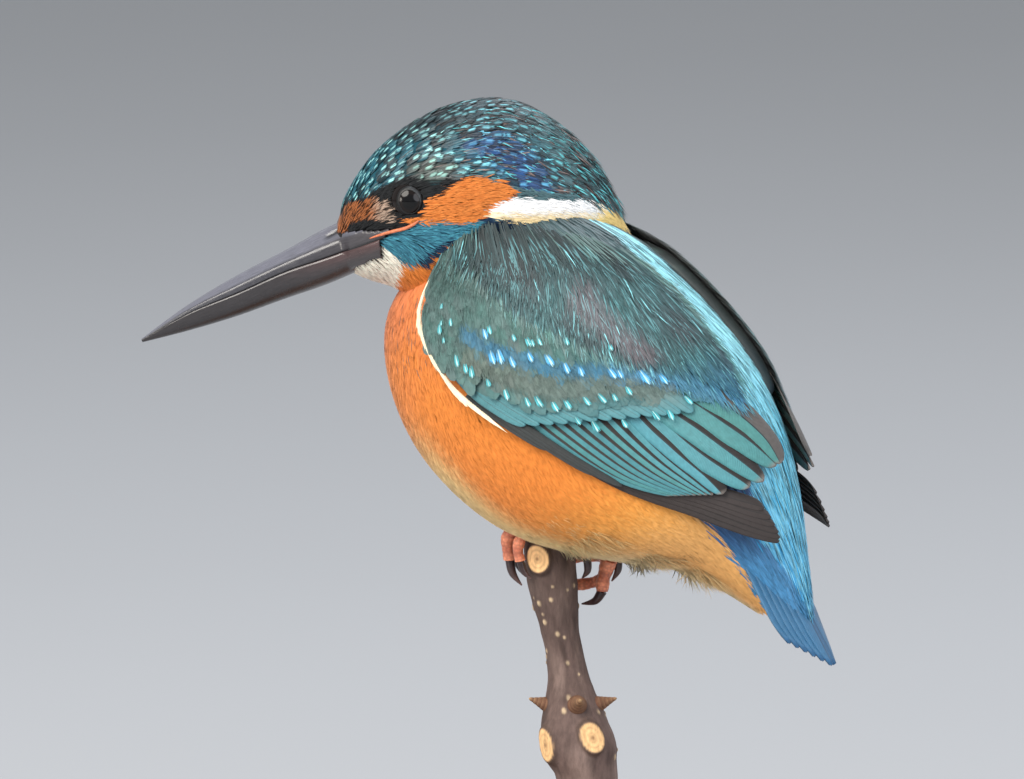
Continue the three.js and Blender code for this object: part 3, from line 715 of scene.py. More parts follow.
upperEdge = [[0.026, 105], [0.037, 88], [0.08, 61], [0.113, 46.5], [0.15, 32], [0.19, 22.5], [0.26, 19],
    [0.35, 19], [0.44, 18], [0.525, 21]]
wingPlan = {
    "outline": upperEdge + [[0.505, 33], [0.48, 47], [0.455, 62], [0.447, 76], [0.43, 88], [0.408, 97.5],
        [0.375, 100.5], [0.34, 104.8], [0.302, 108], [0.253, 110.5], [0.215, 112.5], [0.155, 113.5],
        [0.107, 109.5], [0.06, 108]],
    "scapulars": upperEdge + [[0.482, 30.5], [0.438, 37.5], [0.36, 54], [0.28, 66.2], [0.19, 78], [0.12, 85]],
    "blueBand": [[0.22, 95], [0.265, 88], [0.32, 76], [0.352, 68], [0.368, 59], [0.415, 46], [0.463, 36],
        [0.52, 22]],
    "brownBand": [[0.27, 97], [0.325, 87], [0.37, 77], [0.39, 68], [0.4, 59], [0.44, 47]],
    "topEdge": [[-0.03, 96], [0.02, 70], [0.05, 52], [0.08, 38], [0.12, 26]],
    "pinkPatch": [[0.21, 52], [0.28, 50], [0.35, 46]],
    "leadingEdge": [[0.09, 110.5], [0.155, 114.2], [0.215, 113.2], [0.253, 111.3], [0.302, 108.8],
        [0.34, 105.4], [0.385, 101]],
    "centre": [0.27, 66],
    "covertsTo": [[20, 0.53], [34, 0.475], [45, 0.43], [57, 0.425], [66, 0.41], [75, 0.39], [84, 0.355],
        [92, 0.315], [103, 0.265], [115, 0.22]],
}
wingTone = tones({
    "grey": "#677e7c", "green": "#59827c", "teal": "#50868d", "slate": "#424f53", "blue": "#4888b0",
    "brown": "#797e73", "pink": "#736b71", "deep": "#35718c", "sea": "#3c6568", "charcoal": "#4a4f4f",
    "cream": "#fff0cf", "spot": "#cffbf8", "halo": "#4fb6c0", "halo2": "#4fa6da", "streak": "#8fdde6",
    "flight": "#4e8f9b", "flightGreen": "#4f8a84", "inner": "#2b2624", "primary": "#3a3331",
    "edge": "#8a8480",
})


def onSheet(t, angle):
    return t * wingSheet["along"], angle * wingSheet["perDegree"]


def distanceTo(line, t, angle):
    # the shortest way to any piece of the line, on the wing laid flat
    x, y = onSheet(t, angle)
    corners = np.array([onSheet(*p) for p in line])
    best = np.full(np.shape(x), 1e9)
    for (x0, y0), (x1, y1) in zip(corners[:-1], corners[1:]):
        dx, dy = x1 - x0, y1 - y0
        w = np.clip(((x - x0) * dx + (y - y0) * dy) / (dx * dx + dy * dy), 0, 1)
        best = np.minimum(best, np.hypot(x - x0 - w * dx, y - y0 - w * dy))
    return best


def wingTones(t, angle, points):
    tone = wingTone
    cloud = cloudy(points, 7, 11)
    small = cloudy(points, 2.5, 12)
    coverts = blend(tone["grey"], tone["green"], 0.5 + 0.5 * small)
    coverts = blend(coverts, tone["teal"], smoothStep(t, 0.25, 0.48) * 0.8)
    # painted shade: the coverts darker towards the wing's front end, where it runs in under the neck and
    # breast feathers
    coverts = coverts * (0.55 + 0.45 * smoothStep(t, 0.06, 0.2))[:, None]
    scapular = blend(tone["slate"], tone["sea"], np.clip(0.5 + 0.6 * cloud, 0, 1))
    # painted shade: the scapulars much darker along the top edge under the neck, and darker towards the front
    # end
    top = distanceTo(wingPlan["topEdge"], t, angle)
    scapular = scapular * (0.15 + 0.85 * smoothStep(top, 1.2, 8))[:, None]
    scapular = scapular * (0.66 + 0.34 * smoothStep(t, 0.08, 0.2))[:, None]
    scapular = blend(scapular, tone["pink"], (1 - smoothStep(distanceTo(wingPlan["pinkPatch"], t, angle), 0.5,
        3)) * 0.7)
    scapular = blend(scapular, tone["deep"], smoothStep(t, 0.36, 0.48) * 0.9)
    # painted shade: darker along the inner edge, where the wing meets the back
    scapular = blend(scapular, tone["charcoal"], (1 - smoothStep(angle, 16, 24)) * 0.5)
    inside = inOutline(t, angle, wingPlan["scapulars"])
    ground = np.where(inside[:, None], scapular, coverts)
    brown = 1 - smoothStep(distanceTo(wingPlan["brownBand"], t, angle), 1, 2.6)
    ground = blend(ground, tone["brown"], brown * 0.6)
    blue = 1 - smoothStep(distanceTo(wingPlan["blueBand"], t, angle), 0.3, 1.7)
    return blend(ground, tone["blue"], blue * (0.65 + 0.2 * small))


# one skin under the plumage

skinPlan = {"headDepth": 0.8, "bodyDepth": 0.8, "voxel": 0.75, "smooth": 4, "shade": 0.85}


def loftedForm(form, rows, columns, grow):
    t, angle = np.meshgrid(np.linspace(0, 1, rows), np.linspace(0, 360, columns, endpoint=False),
        indexing="ij")
    return closedTube(surfacePoint(form, t, angle, np.ones_like(t), np.full_like(t, grow)))


def markingsAt(points):
    # the form that a place lies on is the one that it is further out on
    tBody, angleBody, radiusBody = whereOn(bodyForm, points)
    _, _, radiusHead = whereOn(headForm, points)
    local = unplaced(headForm, points)
    dice = np.random.default_rng(5)
    head, _, _ = headTones(*onProfile(local), dice)
    body = bodyTones(tBody, angleBody, points)
    radiusHead = np.where(radiusHead > 2, 0, radiusHead)
    radiusBody = np.where(radiusBody > 2, 0, radiusBody)
    return np.where((radiusHead > radiusBody)[:, None], head, body)


def skinPiece():
    # both forms drawn in by the coat's depth, melted into one surface and eased
    parts = [loftedForm(headForm, 60, 72, -skinPlan["headDepth"]),
        loftedForm(bodyForm, 80, 80, -skinPlan["bodyDepth"])]
    points, faces = joinedParts(parts)
    rough = bpy.data.meshes.new("rough skin")
    rough.from_pydata((points * millimetre).tolist(), [], [f for g in faces for f in g.tolist()])
    holder = bpy.data.objects.new("rough skin", rough)
    bpy.context.scene.collection.objects.link(holder)
    remesh = holder.modifiers.new("melt", "REMESH")
    remesh.mode = "VOXEL"
    remesh.voxel_size = skinPlan["voxel"] * millimetre
    ease = holder.modifiers.new("ease", "SMOOTH")
    ease.iterations = skinPlan["smooth"]
    bpy.context.view_layer.update()
    melted = bpy.data.meshes.new_from_object(holder.evaluated_get(bpy.context.evaluated_depsgraph_get()))
    bpy.data.objects.remove(holder)
    count = len(melted.vertices)
    flatPoints = np.zeros(count * 3, np.float32)
    melted.vertices.foreach_get("co", flatPoints)
    corners = np.zeros(len(melted.loops), np.int32)
    melted.loops.foreach_get("vertex_index", corners)
    points = flatPoints.reshape(-1, 3).astype(float) / millimetre
    # the skin takes the plumage's markings, darkened as painted shade under the coat
    tone = markingsAt(points) * skinPlan["shade"]
    uv = np.zeros((count, 2))
    t, angle, _ = whereOn(bodyForm, points)
    uv[:, 0] = 0.5 + np.sign(points[:, 1]) * angle / mapTurn
    uv[:, 1] = np.clip(t, 0, 1)
    return addPiece("skin", ["head", "neck", "trunk", "tail_coverts"], points,
        [corners.reshape(-1, 4)], downPlumage, {"OFBake": uv, "Vane": uv * 0},
        {"ground": tone, "mark": np.tile(noMark, (count, 1))})


skinPiece()
print("skin made")


# head plumage

eyePlan = {"radius": 3.4, "place": [-10, 8.3, 0.8], "clear": 2.25}


def ahead(form, roots, share):
    # where a feather's share lies on the form
    perShare, perDegree, _ = surfaceFrame(form, roots["t"], roots["angle"], roots["side"])
    slant = np.radians(roots["slant"])
    return (roots["t"] + share * roots["length"] * np.cos(slant) / perShare,
        roots["angle"] + share * roots["length"] * np.sin(slant) / perDegree)


def profileAhead(form, roots, share):
    t, angle = ahead(form, roots, share)
    return t, angle, localPoint(form, t, angle, roots["side"], np.zeros(len(t)))


def clearOfEye(roots):
    kept = np.ones(len(roots["t"]), bool)
    for share in (0, 0.35, 0.7, 1):
        _, _, local = profileAhead(headForm, roots, share)
        away = np.hypot(local[:, 0] - eyePlan["place"][0], local[:, 2] - eyePlan["place"][2])
        kept &= (away > eyePlan["clear"]) | (np.abs(local[:, 1]) < 5)
    return only(roots, kept)


def outside(roots, form, other, least):
    # only the feathers whose root isn't buried in the other form
    points = surfacePoint(form, roots["t"], roots["angle"], roots["side"], np.zeros(len(roots["t"])))
    _, _, radius = whereOn(other, points)
    return only(roots, radius > least)


crownLook = {"from": 0.02, "to": 0.84, "roundTo": 100, "rowGap": [[0, 1.05], [0.3, 1.5], [0.9, 1.9]],
    "featherGap": [[0, 0.85], [0.3, 1.35], [0.9, 1.8]], "barbs": 7, "length": 3.6, "width": 0.32,
    "rise": 0.06, "sunk": 0.42, "depth": 1.1, "stray": 6, "curl": 0.05, "rootShade": 0.16, "change": 0.3,
    "thick": 0.08, "spot": [[0, 0.28], [0.35, 0.4], [0.7, 0.36]], "jitter": 0.5, "bulge": 0.5, "wobble": 0.15,
    "shares": [0, 0.35, 0.6, 0.85, 1], "widths": [0.7, 1, 1, 0.8, 0], "curve": 0.55}


def staggeredRows(form, look, dice):
    # rows across the lie, each shifted half a feather against the row before
    angles = np.linspace(0, look["roundTo"], 200)
    t, k, found = look["from"], 0, []
    while t < look["to"]:
        perShare, perDegree, _ = surfaceFrame(form, np.full(200, t), angles, np.ones(200))
        arc = np.concatenate([[0], np.cumsum(perDegree[1:] * np.diff(angles))])
        gap = lookUp(t, look["featherGap"])
        angle = np.interp(np.arange(0.5 * (k % 2) * gap, arc[-1], gap), arc, angles)
        for side in (left, right):
            mine = angle if side == left or k % 2 else angle[1:]
            found.append(np.stack([np.full(len(mine), t), mine, np.full(len(mine), side)]))
        t += lookUp(t, look["rowGap"]) / perShare.mean()
        k += 1
    t, angle, side = np.concatenate(found, 1)
    jitter = look.get("jitter", 0.2)
    t = t + jitter * dice.normal(size=len(t)) / 40
    angle = angle + jitter * dice.normal(size=len(t)) * 2
    return {"t": t, "angle": angle, "side": side}


def brushes(roots, look, dice):
    # each feather is several barbs side by side, the middle ones longest, fanned out from a narrow root
    count, barbs = len(roots["t"]), look["barbs"]
    out = {key: np.repeat(value, barbs) for key, value in roots.items()}
    place = np.tile(np.linspace(-1, 1, barbs), count)
    spread = np.repeat(roots["spread"], barbs)
    out["startShift"] = place * spread * 0.45
    out["endShift"] = place * spread + 0.06 * dice.normal(size=len(place))
    out["length"] = out["length"] * (1 - 0.16 * place ** 2) * dice.uniform(0.95, 1.05, len(place))
    out["width"] = out["width"] * dice.uniform(0.85, 1.2, len(place))
    return out


def crownPiece():
    look = crownLook
    dice = np.random.default_rng(21)
    roots = staggeredRows(headForm, look, dice)
    roots = outside(roots, headForm, bodyForm, 0.97)
    count = len(roots["t"])
    grow = np.interp(roots["t"], [0, 0.25, 0.6, 0.9], [0.62, 0.85, 1.15, 1.5])
    roots["length"] = look["length"] * grow * dice.uniform(0.92, 1.08, count)
    roots["width"] = look["width"] * grow ** 0.5 * np.ones(count)
    roots["spread"] = lookUp(roots["t"], look["featherGap"]) * 0.48
    hind = smoothStep(roots["t"], 0.55, 0.85)
    roots["rise"] = look["rise"] * dice.uniform(0.3, 1.4,
        count) * (1 + 6 * hind) - look["sunk"] * (1 + 0.6 * hind)
    roots["slant"] = look["stray"] * dice.normal(size=count)
    _, _, local = profileAhead(headForm, roots, 0.75)
    ground, mark, kind = headTones(*onProfile(local), dice)
    few = np.interp(roots["t"], [0, 0.35, 0.6, 0.8], [0.86, 0.84, 0.46, 0.24])
    lit = np.where(dice.uniform(size=count) < few, 1, 0.06) * dice.uniform(0.4, 1, count) * (1 - 0.4 * hind)
    ground = ground * np.where(dice.uniform(size=count) < 0.3, 0.3, 1)[:, None]
    mark[:, 3] *= lit
    chosen = kind == "crown"
    roots, ground, mark = only(roots, chosen), ground[chosen], mark[chosen]
    barbs = clearOfEye(brushes(dict(roots, number=np.arange(len(roots["t"]))), look, dice))
    number = barbs.pop("number")
    ground, mark = ground[number], mark[number]
    spot = lookUp(barbs["t"], look["spot"])
    inner = 1 - smoothStep(np.abs(barbs["endShift"]) / barbs["spread"] - spot, -0.2, 0.2)
    mark[:, 3] *= inner * dice.uniform(0.75, 1, len(number))
    feathered("crown_feathers", ["head"], crownPlumage, headForm, barbs, ground, look, dice,
        mark)


crownPiece()

napeLook = {"perSquareMm": 3.6, "length": 6.5, "width": 0.28, "rise": 1.5, "sunk": 0.5, "depth": 0.8,
    "stray": 11, "curl": 0.1, "rootShade": 0.5, "change": 0.3, "thick": 0.07, "curve": 1.1, "wobble": 0.15}


def napePiece():
    look = napeLook
    dice = np.random.default_rng(22)
    roots = scatter(headForm, (0.38, 0.97), (0, 96), look["perSquareMm"], dice)
    roots = only(roots, dice.uniform(size=len(roots["t"])) < smoothStep(roots["t"], 0.34, 0.62))
    roots = sized(outside(roots, headForm, bodyForm, 0.97), look, dice)
    hind = smoothStep(roots["t"], 0.55, 0.9)
    proud = dice.uniform(size=len(hind)) ** 2
    roots["rise"] = roots["rise"] * (0.1 + hind) * proud - look["sunk"]
    _, _, local = profileAhead(headForm, roots, 0.5)
    ground, mark, kind = headTones(*onProfile(local), dice)
    chosen = kind == "crown"
    roots, ground, mark = only(roots, chosen), ground[chosen], mark[chosen]
    count = len(ground)
    pick = dice.uniform(size=count)
    ground[pick < 0.14] = headTone["brown"]
    ground[(pick > 0.14) & (pick < 0.4)] = headTone["black"]
    mark[:, 3] = np.where(pick > 0.6, dice.uniform(0.2, 1, count), 0)
    mark[:, :3] = np.where((dice.uniform(size=count) < 0.5)[:, None], mark[:, :3], headTone["barNape"])
    feathered("nape_feathers", ["neck"], crownPlumage, headForm, roots, ground, look, dice,
        mark)


napePiece()

faceLook = {"perSquareMm": 11, "length": 2.6, "width": 0.22, "rise": 0.1, "depth": 0.5, "stray": 8,
    "curl": 0.08, "rootShade": 0.95, "change": 0.07, "thick": 0.04, "curve": 0.6, "shares": [0, 0.5, 1],
    "widths": [0.8, 1, 0]}


def facePlaces(roots, dice):
    # colour and kind at each feather, with a ragged border, and whether its root or tip lies over the bill's
    # horn
    _, _, local = profileAhead(headForm, roots, 0.6)
    x, z = onProfile(local)
    wander = 0.22 * dice.normal(size=(2, len(x)))
    ground, mark, kind = headTones(x + wander[0], z + wander[1], dice)
    over = np.zeros(len(x), bool)
    for share in (0, 0.5, 1):
        _, _, part = profileAhead(headForm, roots, share)
        over |= inOutline(*onProfile(part), headPlan["horn"])
    return local, ground, mark, kind, over


def facePiece():
    look = faceLook
    dice = np.random.default_rng(23)
    roots = scatter(headForm, (0.0, 0.97), (38, 180), look["perSquareMm"], dice)
    roots = outside(roots, headForm, bodyForm, 0.94)
    first = localPoint(headForm, roots["t"], roots["angle"], roots["side"], np.zeros(len(roots["t"])))
    down = smoothStep(-first[:, 0], 4, 11) * smoothStep(-first[:, 2], 4, 7)
    roots["slant"] = 38 * down
    roots = sized(roots, look, dice)
    small = 0.6 + 0.4 * smoothStep(first[:, 0], -20, -8)
    roots["length"] *= small
    _, _, _, kind, _ = facePlaces(roots, dice)
    roots["length"] *= np.where(kind == "white", 1.6, 1)
    roots["width"] *= np.where(kind == "white", 1.5, 1)
    roots = clearOfEye(roots)
    local, ground, mark, kind, over = facePlaces(roots, dice)
    chosen = ((kind != "crown") | (local[:, 0] < -19.5)) & ~over
    roots, ground, mark, kind = only(roots, chosen), ground[chosen], mark[chosen], kind[chosen]
    mark[:, 3] = 0
    feathered("face_feathers", ["head"], downPlumage, headForm, roots, ground, look, dice,
        mark)


facePiece()
print("head plumage made")


# body plumage

def shrunk(outline, share):
    centre = wingPlan["centre"]
    return [[centre[k] + (p[k] - centre[k]) * share for k in (0, 1)] for p in outline]


def uncovered(roots):
    # only the feathers that neither the head nor the wing's cover hides
    zero = np.zeros(len(roots["t"]))
    points = surfacePoint(bodyForm, roots["t"], roots["angle"], roots["side"], zero)
    _, _, fromHead = whereOn(headForm, points)
    tWing, angleWing, _ = whereOn(wingForm, points)
    return only(roots, (fromHead > 0.92) & ~inOutline(tWing, angleWing, shrunk(wingPlan["outline"], 0.88)))


breastLook = {"perSquareMm": 6.2, "length": 4.8, "width": 0.48, "rise": 0.06, "depth": 0.5, "stray": 5,
    "curl": 0.04, "wobble": 0.03, "bulge": 0.12, "rootShade": 1, "change": 0.03, "thick": 0.05, "curve": 0.6,
    "shares": [0, 0.5, 1], "widths": [0.8, 1, 0]}


def breastPiece(side, name):
    look = breastLook
    dice = np.random.default_rng(31 + side)
    roots = uncovered(scatter(bodyForm, (0.0, 0.97), (70, 180), look["perSquareMm"], dice, (side,)))
    wave = np.sin(roots["t"] * 23 + roots["angle"] * 0.09) + np.sin(roots["t"] * 41 - roots["angle"] * 0.05)
    roots["slant"] = 5 * wave
    roots = sized(roots, look, dice)
    roots["length"] *= np.interp(roots["t"], [0.8, 0.97], [1, 0.35])
    t, angle, local = profileAhead(bodyForm, roots, 0.6)
    jitter = dice.normal(size=(2, len(t)))
    ground = bodyTones(t + 0.012 * jitter[0], angle + 1.5 * jitter[1], local)
    smudged = (np.abs(t - 0.19) < 0.07) & (angle < 142) & (dice.uniform(size=len(t)) < 0.07)
    ground[smudged] = bodyTone["smudge"]
    feathered(name, ["trunk"], downPlumage, bodyForm, roots, ground, look, dice)


breastPiece(left, "breast_feathers_left")
breastPiece(right, "breast_feathers_right")

ventLook = {"tufts": [[0.65, 0.5], [0.755, 1.1], [0.835, 0.9]], "perSquareMm": 4, "length": 7.0,
    "width": 0.22, "rise": 3.4, "depth": 0.8, "stray": 14, "curl": 0.16, "rootShade": 0.8, "change": 0.12,
    "thick": 0.05, "curve": 1.3, "shares": [0, 0.25, 0.5, 0.75, 1], "widths": [0.8, 1, 0.8, 0.5, 0]}


def ventPiece():
    look = ventLook
    dice = np.random.default_rng(33)
    roots = sized(scatter(bodyForm, (0.56, 0.88), (112, 180), look["perSquareMm"], dice), look, dice)
    tuft = sum(size * np.exp(-((roots["t"] - place) / 0.018) ** 2) for place, size in look["tufts"])
    roots["rise"] *= 0.1 + 1.3 * tuft
    roots["length"] *= 0.7 + 0.4 * tuft
    t, angle, local = profileAhead(bodyForm, roots, 0.6)
    ground = blend(bodyTones(t, angle, local), bodyTone["pale"], dice.uniform(size=len(t)) * 0.5)
    feathered("vent_feathers", ["tail_coverts"], downPlumage, bodyForm, roots, ground, look,
        dice)


ventPiece()

backLook = {"perSquareMm": 2.6, "length": 9, "width": 0.42, "rise": 0.3, "depth": 0.8, "stray": 3,
    "curl": 0.04, "rootShade": 0.75, "change": 0.13, "thick": 0.07, "curve": 0.6,
    "shares": [0, 0.25, 0.5, 0.75, 1], "widths": [0.7, 1, 0.9, 0.6, 0]}


def backPiece():
    look = backLook
    dice = np.random.default_rng(34)
    roots = scatter(bodyForm, (0.0, 0.98), (0, 92), look["perSquareMm"], dice)
    roots = sized(uncovered(roots), look, dice)
    hind = smoothStep(roots["t"], 0.66, 0.8) * smoothStep(roots["angle"], 26, 40)
    roots["rise"] *= 1 - 0.7 * hind
    roots["width"] *= 1 + 1.2 * hind
    roots["length"] *= np.interp(roots["t"], [0.78, 0.98], [1, 0.4])
    t, angle, local = profileAhead(bodyForm, roots, 0.5)
    ground = bodyTones(t, angle + 1.2 * dice.normal(size=len(t)), local)
    dim = np.interp(t, [0, 0.15, 0.3, 1], [0.6, 0.45, 0.2, 0.25])
    azure = angle < lookUp(t, bodyPlan["azureEdge"]) - 1
    ground = ground * np.where((dice.uniform(size=len(t)) < dim) & azure, 0.25, 1)[:, None]
    kept = angle < lookUp(t, bodyPlan["orangeEdge"]) + 2
    roots, ground, angle, t = only(roots, kept), ground[kept], angle[kept], t[kept]
    azure = azure[kept]
    mark = marked(bodyTone["azureLight"], azure * dice.uniform(0, 0.7, len(t)), len(t))
    feathered("back_feathers", ["tail_coverts"], azurePlumage, bodyForm, roots, ground, look,
        dice, mark)


backPiece()
print("body plumage made")


# wings

def closedCurve(outline, steps):
    # a smooth closed line through the outline's points
    points = np.array(outline)
    count = len(points)
    place = np.linspace(0, count, steps, endpoint=False)
    i = place.astype(int)
    w = (place - i)[:, None]
    p0, p1, p2, p3 = (points[(i + k) % count] for k in (-1, 0, 1, 2))
    before, after = (p2 - p0) / 2, (p3 - p1) / 2
    return ((2 * p1 - 2 * p2 + before + after) * w + (3 * p2 - 3 * p1 - 2 * before
        - after)) * w * w + before * w + p1


bedLook = {"around": 120, "rings": 26, "top": -0.7, "under": -3.4, "rim": 0.12, "drop": 1.6, "inset": 0.985,
    "shade": 0.8}


def bedPiece(side, name, replaced):
    # the wing's outline drawn in towards its centre ring by ring, level above and rounded down at the rim
    look = bedLook
    rim = closedCurve(wingPlan["outline"], look["around"])
    centre = np.array(wingPlan["centre"])
    share = np.linspace(0, 1, look["rings"] + 1)[1:] * look["inset"]
    spots = centre + (rim - centre) * share[:, None, None]
    fall = np.clip((share / look["inset"] - 1 + look["rim"]) / look["rim"], 0, 1)
    lift = look["top"] - look["drop"] * (1 - np.sqrt(1 - fall ** 2))
    rings = np.concatenate([spots, spots[::-1]])
    lifts = np.concatenate([lift, np.full(len(share), look["under"])])
    t, angle = rings[..., 0], rings[..., 1]
    points, faces = closedTube(surfacePoint(wingForm, t, angle, np.full(t.shape, side),
        lifts[:, None] * np.ones_like(t)))
    t = np.concatenate([t.ravel(), [centre[0]] * 2])
    angle = np.concatenate([angle.ravel(), [centre[1]] * 2])
    # the bed's colour darkened as painted shade under the covert feathers
    tone = wingTones(t, angle, points) * look["shade"]
    # painted shade: the right, far wing darkened towards its inner edge by the back
    if side == right:
        tone = blend(tone, wingTone["charcoal"] * 0.7, 0.8 * (1 - smoothStep(angle, 22, 46)))
    uv = np.stack([0.5 + side * angle / mapTurn, t], -1)
    return addPiece(name, replaced, points, faces, barbPlumage,
        {"OFBake": uv, "Vane": uv * 0}, {"ground": tone, "mark": np.tile(noMark, (len(t), 1))})


# how far the lie turns from straight back towards the breast, in degrees: scapulars and coverts apart
lieField = {"scapulars": [[14, -12], [20, -8], [30, 0], [42, 10], [60, 18], [85, 20], [112, 14]],
    "coverts": [[14, -8], [40, 0], [60, 3], [85, 4], [100, 2], [114, -6]]}

scapularLook = {"perSquareMm": 4.6, "length": 9, "width": 0.26, "rise": 0.22, "depth": 0.7, "stray": 4,
    "curl": 0.07, "rootShade": 0.75, "change": 0.16, "thick": 0.06, "curve": 0.55,
    "shares": [0, 0.25, 0.5, 0.75, 1], "widths": [0.7, 1, 0.9, 0.6, 0],
    "outline": [[-0.03, 105], [-0.02, 88], [0.03, 61], [0.07, 46], [0.11, 31], [0.16, 20], [0.24, 16.5],
    [0.35, 16.5], [0.44, 17], [0.525, 21], [0.482, 30.5], [0.438, 37.5], [0.36, 54], [0.28, 66.2], [0.19, 78],
    [0.12, 85], [0.02, 105]]}


def wingLie(roots):
    upper, lower = (lookUp(roots["angle"], lieField[name]) for name in ("scapulars", "coverts"))
    return np.where(inOutline(roots["t"], roots["angle"], wingPlan["scapulars"]), upper, lower)


def aheadOnWing(roots, share):
    t, angle = ahead(wingForm, roots, share)
    return t, angle, surfacePoint(wingForm, t, angle, roots["side"], np.zeros(len(t)))


def scapularPiece(side, name, replaced):
    look = scapularLook
    dice = np.random.default_rng(41 + side)
    roots = scatter(wingForm, (-0.04, 0.53), (13, 112), look["perSquareMm"], dice, (side,))
    roots = only(roots, inOutline(roots["t"], roots["angle"], look["outline"]))
    roots["slant"] = wingLie(roots)
    roots = sized(roots, look, dice)
    tip, tipAngle, _ = aheadOnWing(roots, 1)
    over = ~inOutline(tip, tipAngle, wingPlan["scapulars"])
    roots["length"] = np.where(over, roots["length"] * 0.5, roots["length"])
    t, angle, points = aheadOnWing(roots, 0.5)
    ground = wingTones(t, angle, points)
    # painted shade: the right, far wing darkened towards its inner edge by the back
    if side == right:
        ground = blend(ground, wingTone["charcoal"], 0.8 * (1 - smoothStep(angle, 22, 46)))
    lit = dice.uniform(size=len(t))
    mark = marked(wingTone["streak"], np.where(lit < 0.018, 0.85, np.where(lit < 0.2, 0.25, 0)), len(t))
    feathered(name, replaced, barbPlumage, wingForm, roots, ground, look, dice, mark)


covertLook = {"perSquareMm": 0.5, "length": 5.6, "width": 2.6, "rise": 0.05, "depth": 0.7, "stray": 5,
    "curl": 0.02, "rootShade": 0.9, "change": 0.05, "thick": 0.1, "curve": 0.5,
    "shares": [0, 0.3, 0.55, 0.75, 0.9, 1], "widths": [0.6, 0.9, 1, 0.9, 0.6, 0]}
fringeLook = {"perSquareMm": 9, "length": 3, "width": 0.2, "rise": 0.2, "depth": 0.4, "stray": 8, "curl": 0.1,
    "rootShade": 0.85, "change": 0.09, "thick": 0.04, "curve": 0.6, "shares": [0, 0.5, 1],
    "widths": [0.8, 1, 0]}


def covertZone(t, angle):
    # down to the row of spots that the greater coverts come out under
    lowest = lookUp(angle, wingPlan["covertsTo"])
    return inOutline(t, angle, wingPlan["outline"]) & ~inOutline(t, angle,
        wingPlan["scapulars"]) & (t < lowest)


def covertPiece(side, name, replaced):
    dice = np.random.default_rng(51 + side)
    layers = []
    for look in (covertLook, fringeLook):
        roots = scatter(wingForm, (0.0, 0.5), (30, 114), look["perSquareMm"], dice, (side,))
        roots = only(roots, covertZone(roots["t"], roots["angle"]))
        roots["slant"] = wingLie(roots)
        roots = sized(roots, look, dice)
        tip, tipAngle, _ = aheadOnWing(roots, 1)
        over = ~inOutline(tip, tipAngle, wingPlan["outline"])
        roots["length"] = np.where(over, roots["length"] * 0.5, roots["length"])
        roots["slant"] = np.where(over & (roots["angle"] > 95), -4, roots["slant"])
        t, angle, points = aheadOnWing(roots, 0.6)
        ground = wingTones(t, angle, points)
        mark = np.tile(noMark, (len(t), 1))
        grown = growFeathers(wingForm, roots, look, dice)
        layers.append((grown, *shadedTones(grown, ground, mark, look, dice)))
    coatPiece(name, replaced, covertPlumage, layers)


# spots at the covert tips: rows from the bend of the wing backwards, each with its number and size
spotRows = [
    {"line": [[0.196, 104], [0.2, 98]], "count": 2, "size": 0.7},
    {"line": [[0.223, 104.5], [0.165, 102.5]], "count": 3, "size": 0.6},
    {"line": [[0.228, 89], [0.25, 83], [0.27, 77.3], [0.283, 75], [0.293, 70], [0.335, 52]], "count": 8,
        "size": 0.8},
    {"line": [[0.275, 89.5], [0.29, 85.6], [0.307, 77.5], [0.333, 71.5], [0.356, 66.5], [0.375, 58.5],
        [0.396, 53], [0.422, 43.8]], "count": 11, "size": 1.15},
    {"line": [[0.263, 102.2], [0.3, 98], [0.348, 92], [0.38, 85.2], [0.4, 80], [0.413, 72], [0.424, 65],
        [0.425, 57.5]], "count": 13, "size": 0.9},
    {"line": [[0.45, 77.2], [0.465, 71.8], [0.475, 64], [0.483, 56.5], [0.487, 50.2], [0.48, 44.2]],
        "count": 6, "size": 0.85},
]
spotLook = {"length": 2.4, "width": 0.22, "rise": 0.4, "depth": 0.05, "barbs": 9, "rootShade": 0.5,
    "change": 0.15, "thick": 0.05, "curve": 0.7, "shares": [0, 0.35, 0.7, 1], "widths": [0.6, 1, 0.8, 0]}


def spotPiece(side, name):
    # short barbs side by side make a spot, the middle ones palest
    look = spotLook
    dice = np.random.default_rng(61 + side)
    places = []
    for row in spotRows:
        share = (np.arange(row["count"]) + 0.35 * dice.uniform(-1, 1, row["count"])) / (row["count"] - 1)
        line = np.array(row["line"])
        t = smoothThrough(line[:, 0], share) + 0.004 * dice.normal(size=len(share))
        places.append(np.stack([t, smoothThrough(line[:, 1], share), np.full(len(share), row["size"])]))
    t, angle, size = np.concatenate(places, 1)
    size = size * dice.uniform(0.75, 1.15, len(size))
    roots = {"t": t - 0.012, "angle": angle, "side": np.full(len(t), side)}
    roots["slant"] = wingLie(roots) + 4 * dice.normal(size=len(t))
    roots["length"] = look["length"] * size
    roots["width"] = look["width"] * size
    roots["rise"] = np.full(len(t), look["rise"])
    roots["spread"] = 0.5 * size
    barbs = brushes(dict(roots, number=np.arange(len(t))), look, dice)
    number = barbs.pop("number")
    place = np.abs(np.tile(np.linspace(-1, 1, look["barbs"]), len(t)))
    inBand = (distanceTo(wingPlan["blueBand"], t, angle) < 2)[number][:, None]
    halo = np.where(inBand, wingTone["halo2"], wingTone["halo"])
    ground = blend(np.tile(wingTone["spot"], (len(number), 1)), halo, smoothStep(place, 0.05, 0.5))
    feathered(name, [], barbPlumage, wingForm, barbs, ground, look, dice)


edgeLook = {"length": 4.2, "width": 0.55, "rise": 0.1, "depth": 0.5, "rootShade": 0.9, "change": 0.05,
    "thick": 0.2, "curve": 0.5, "count": 70}


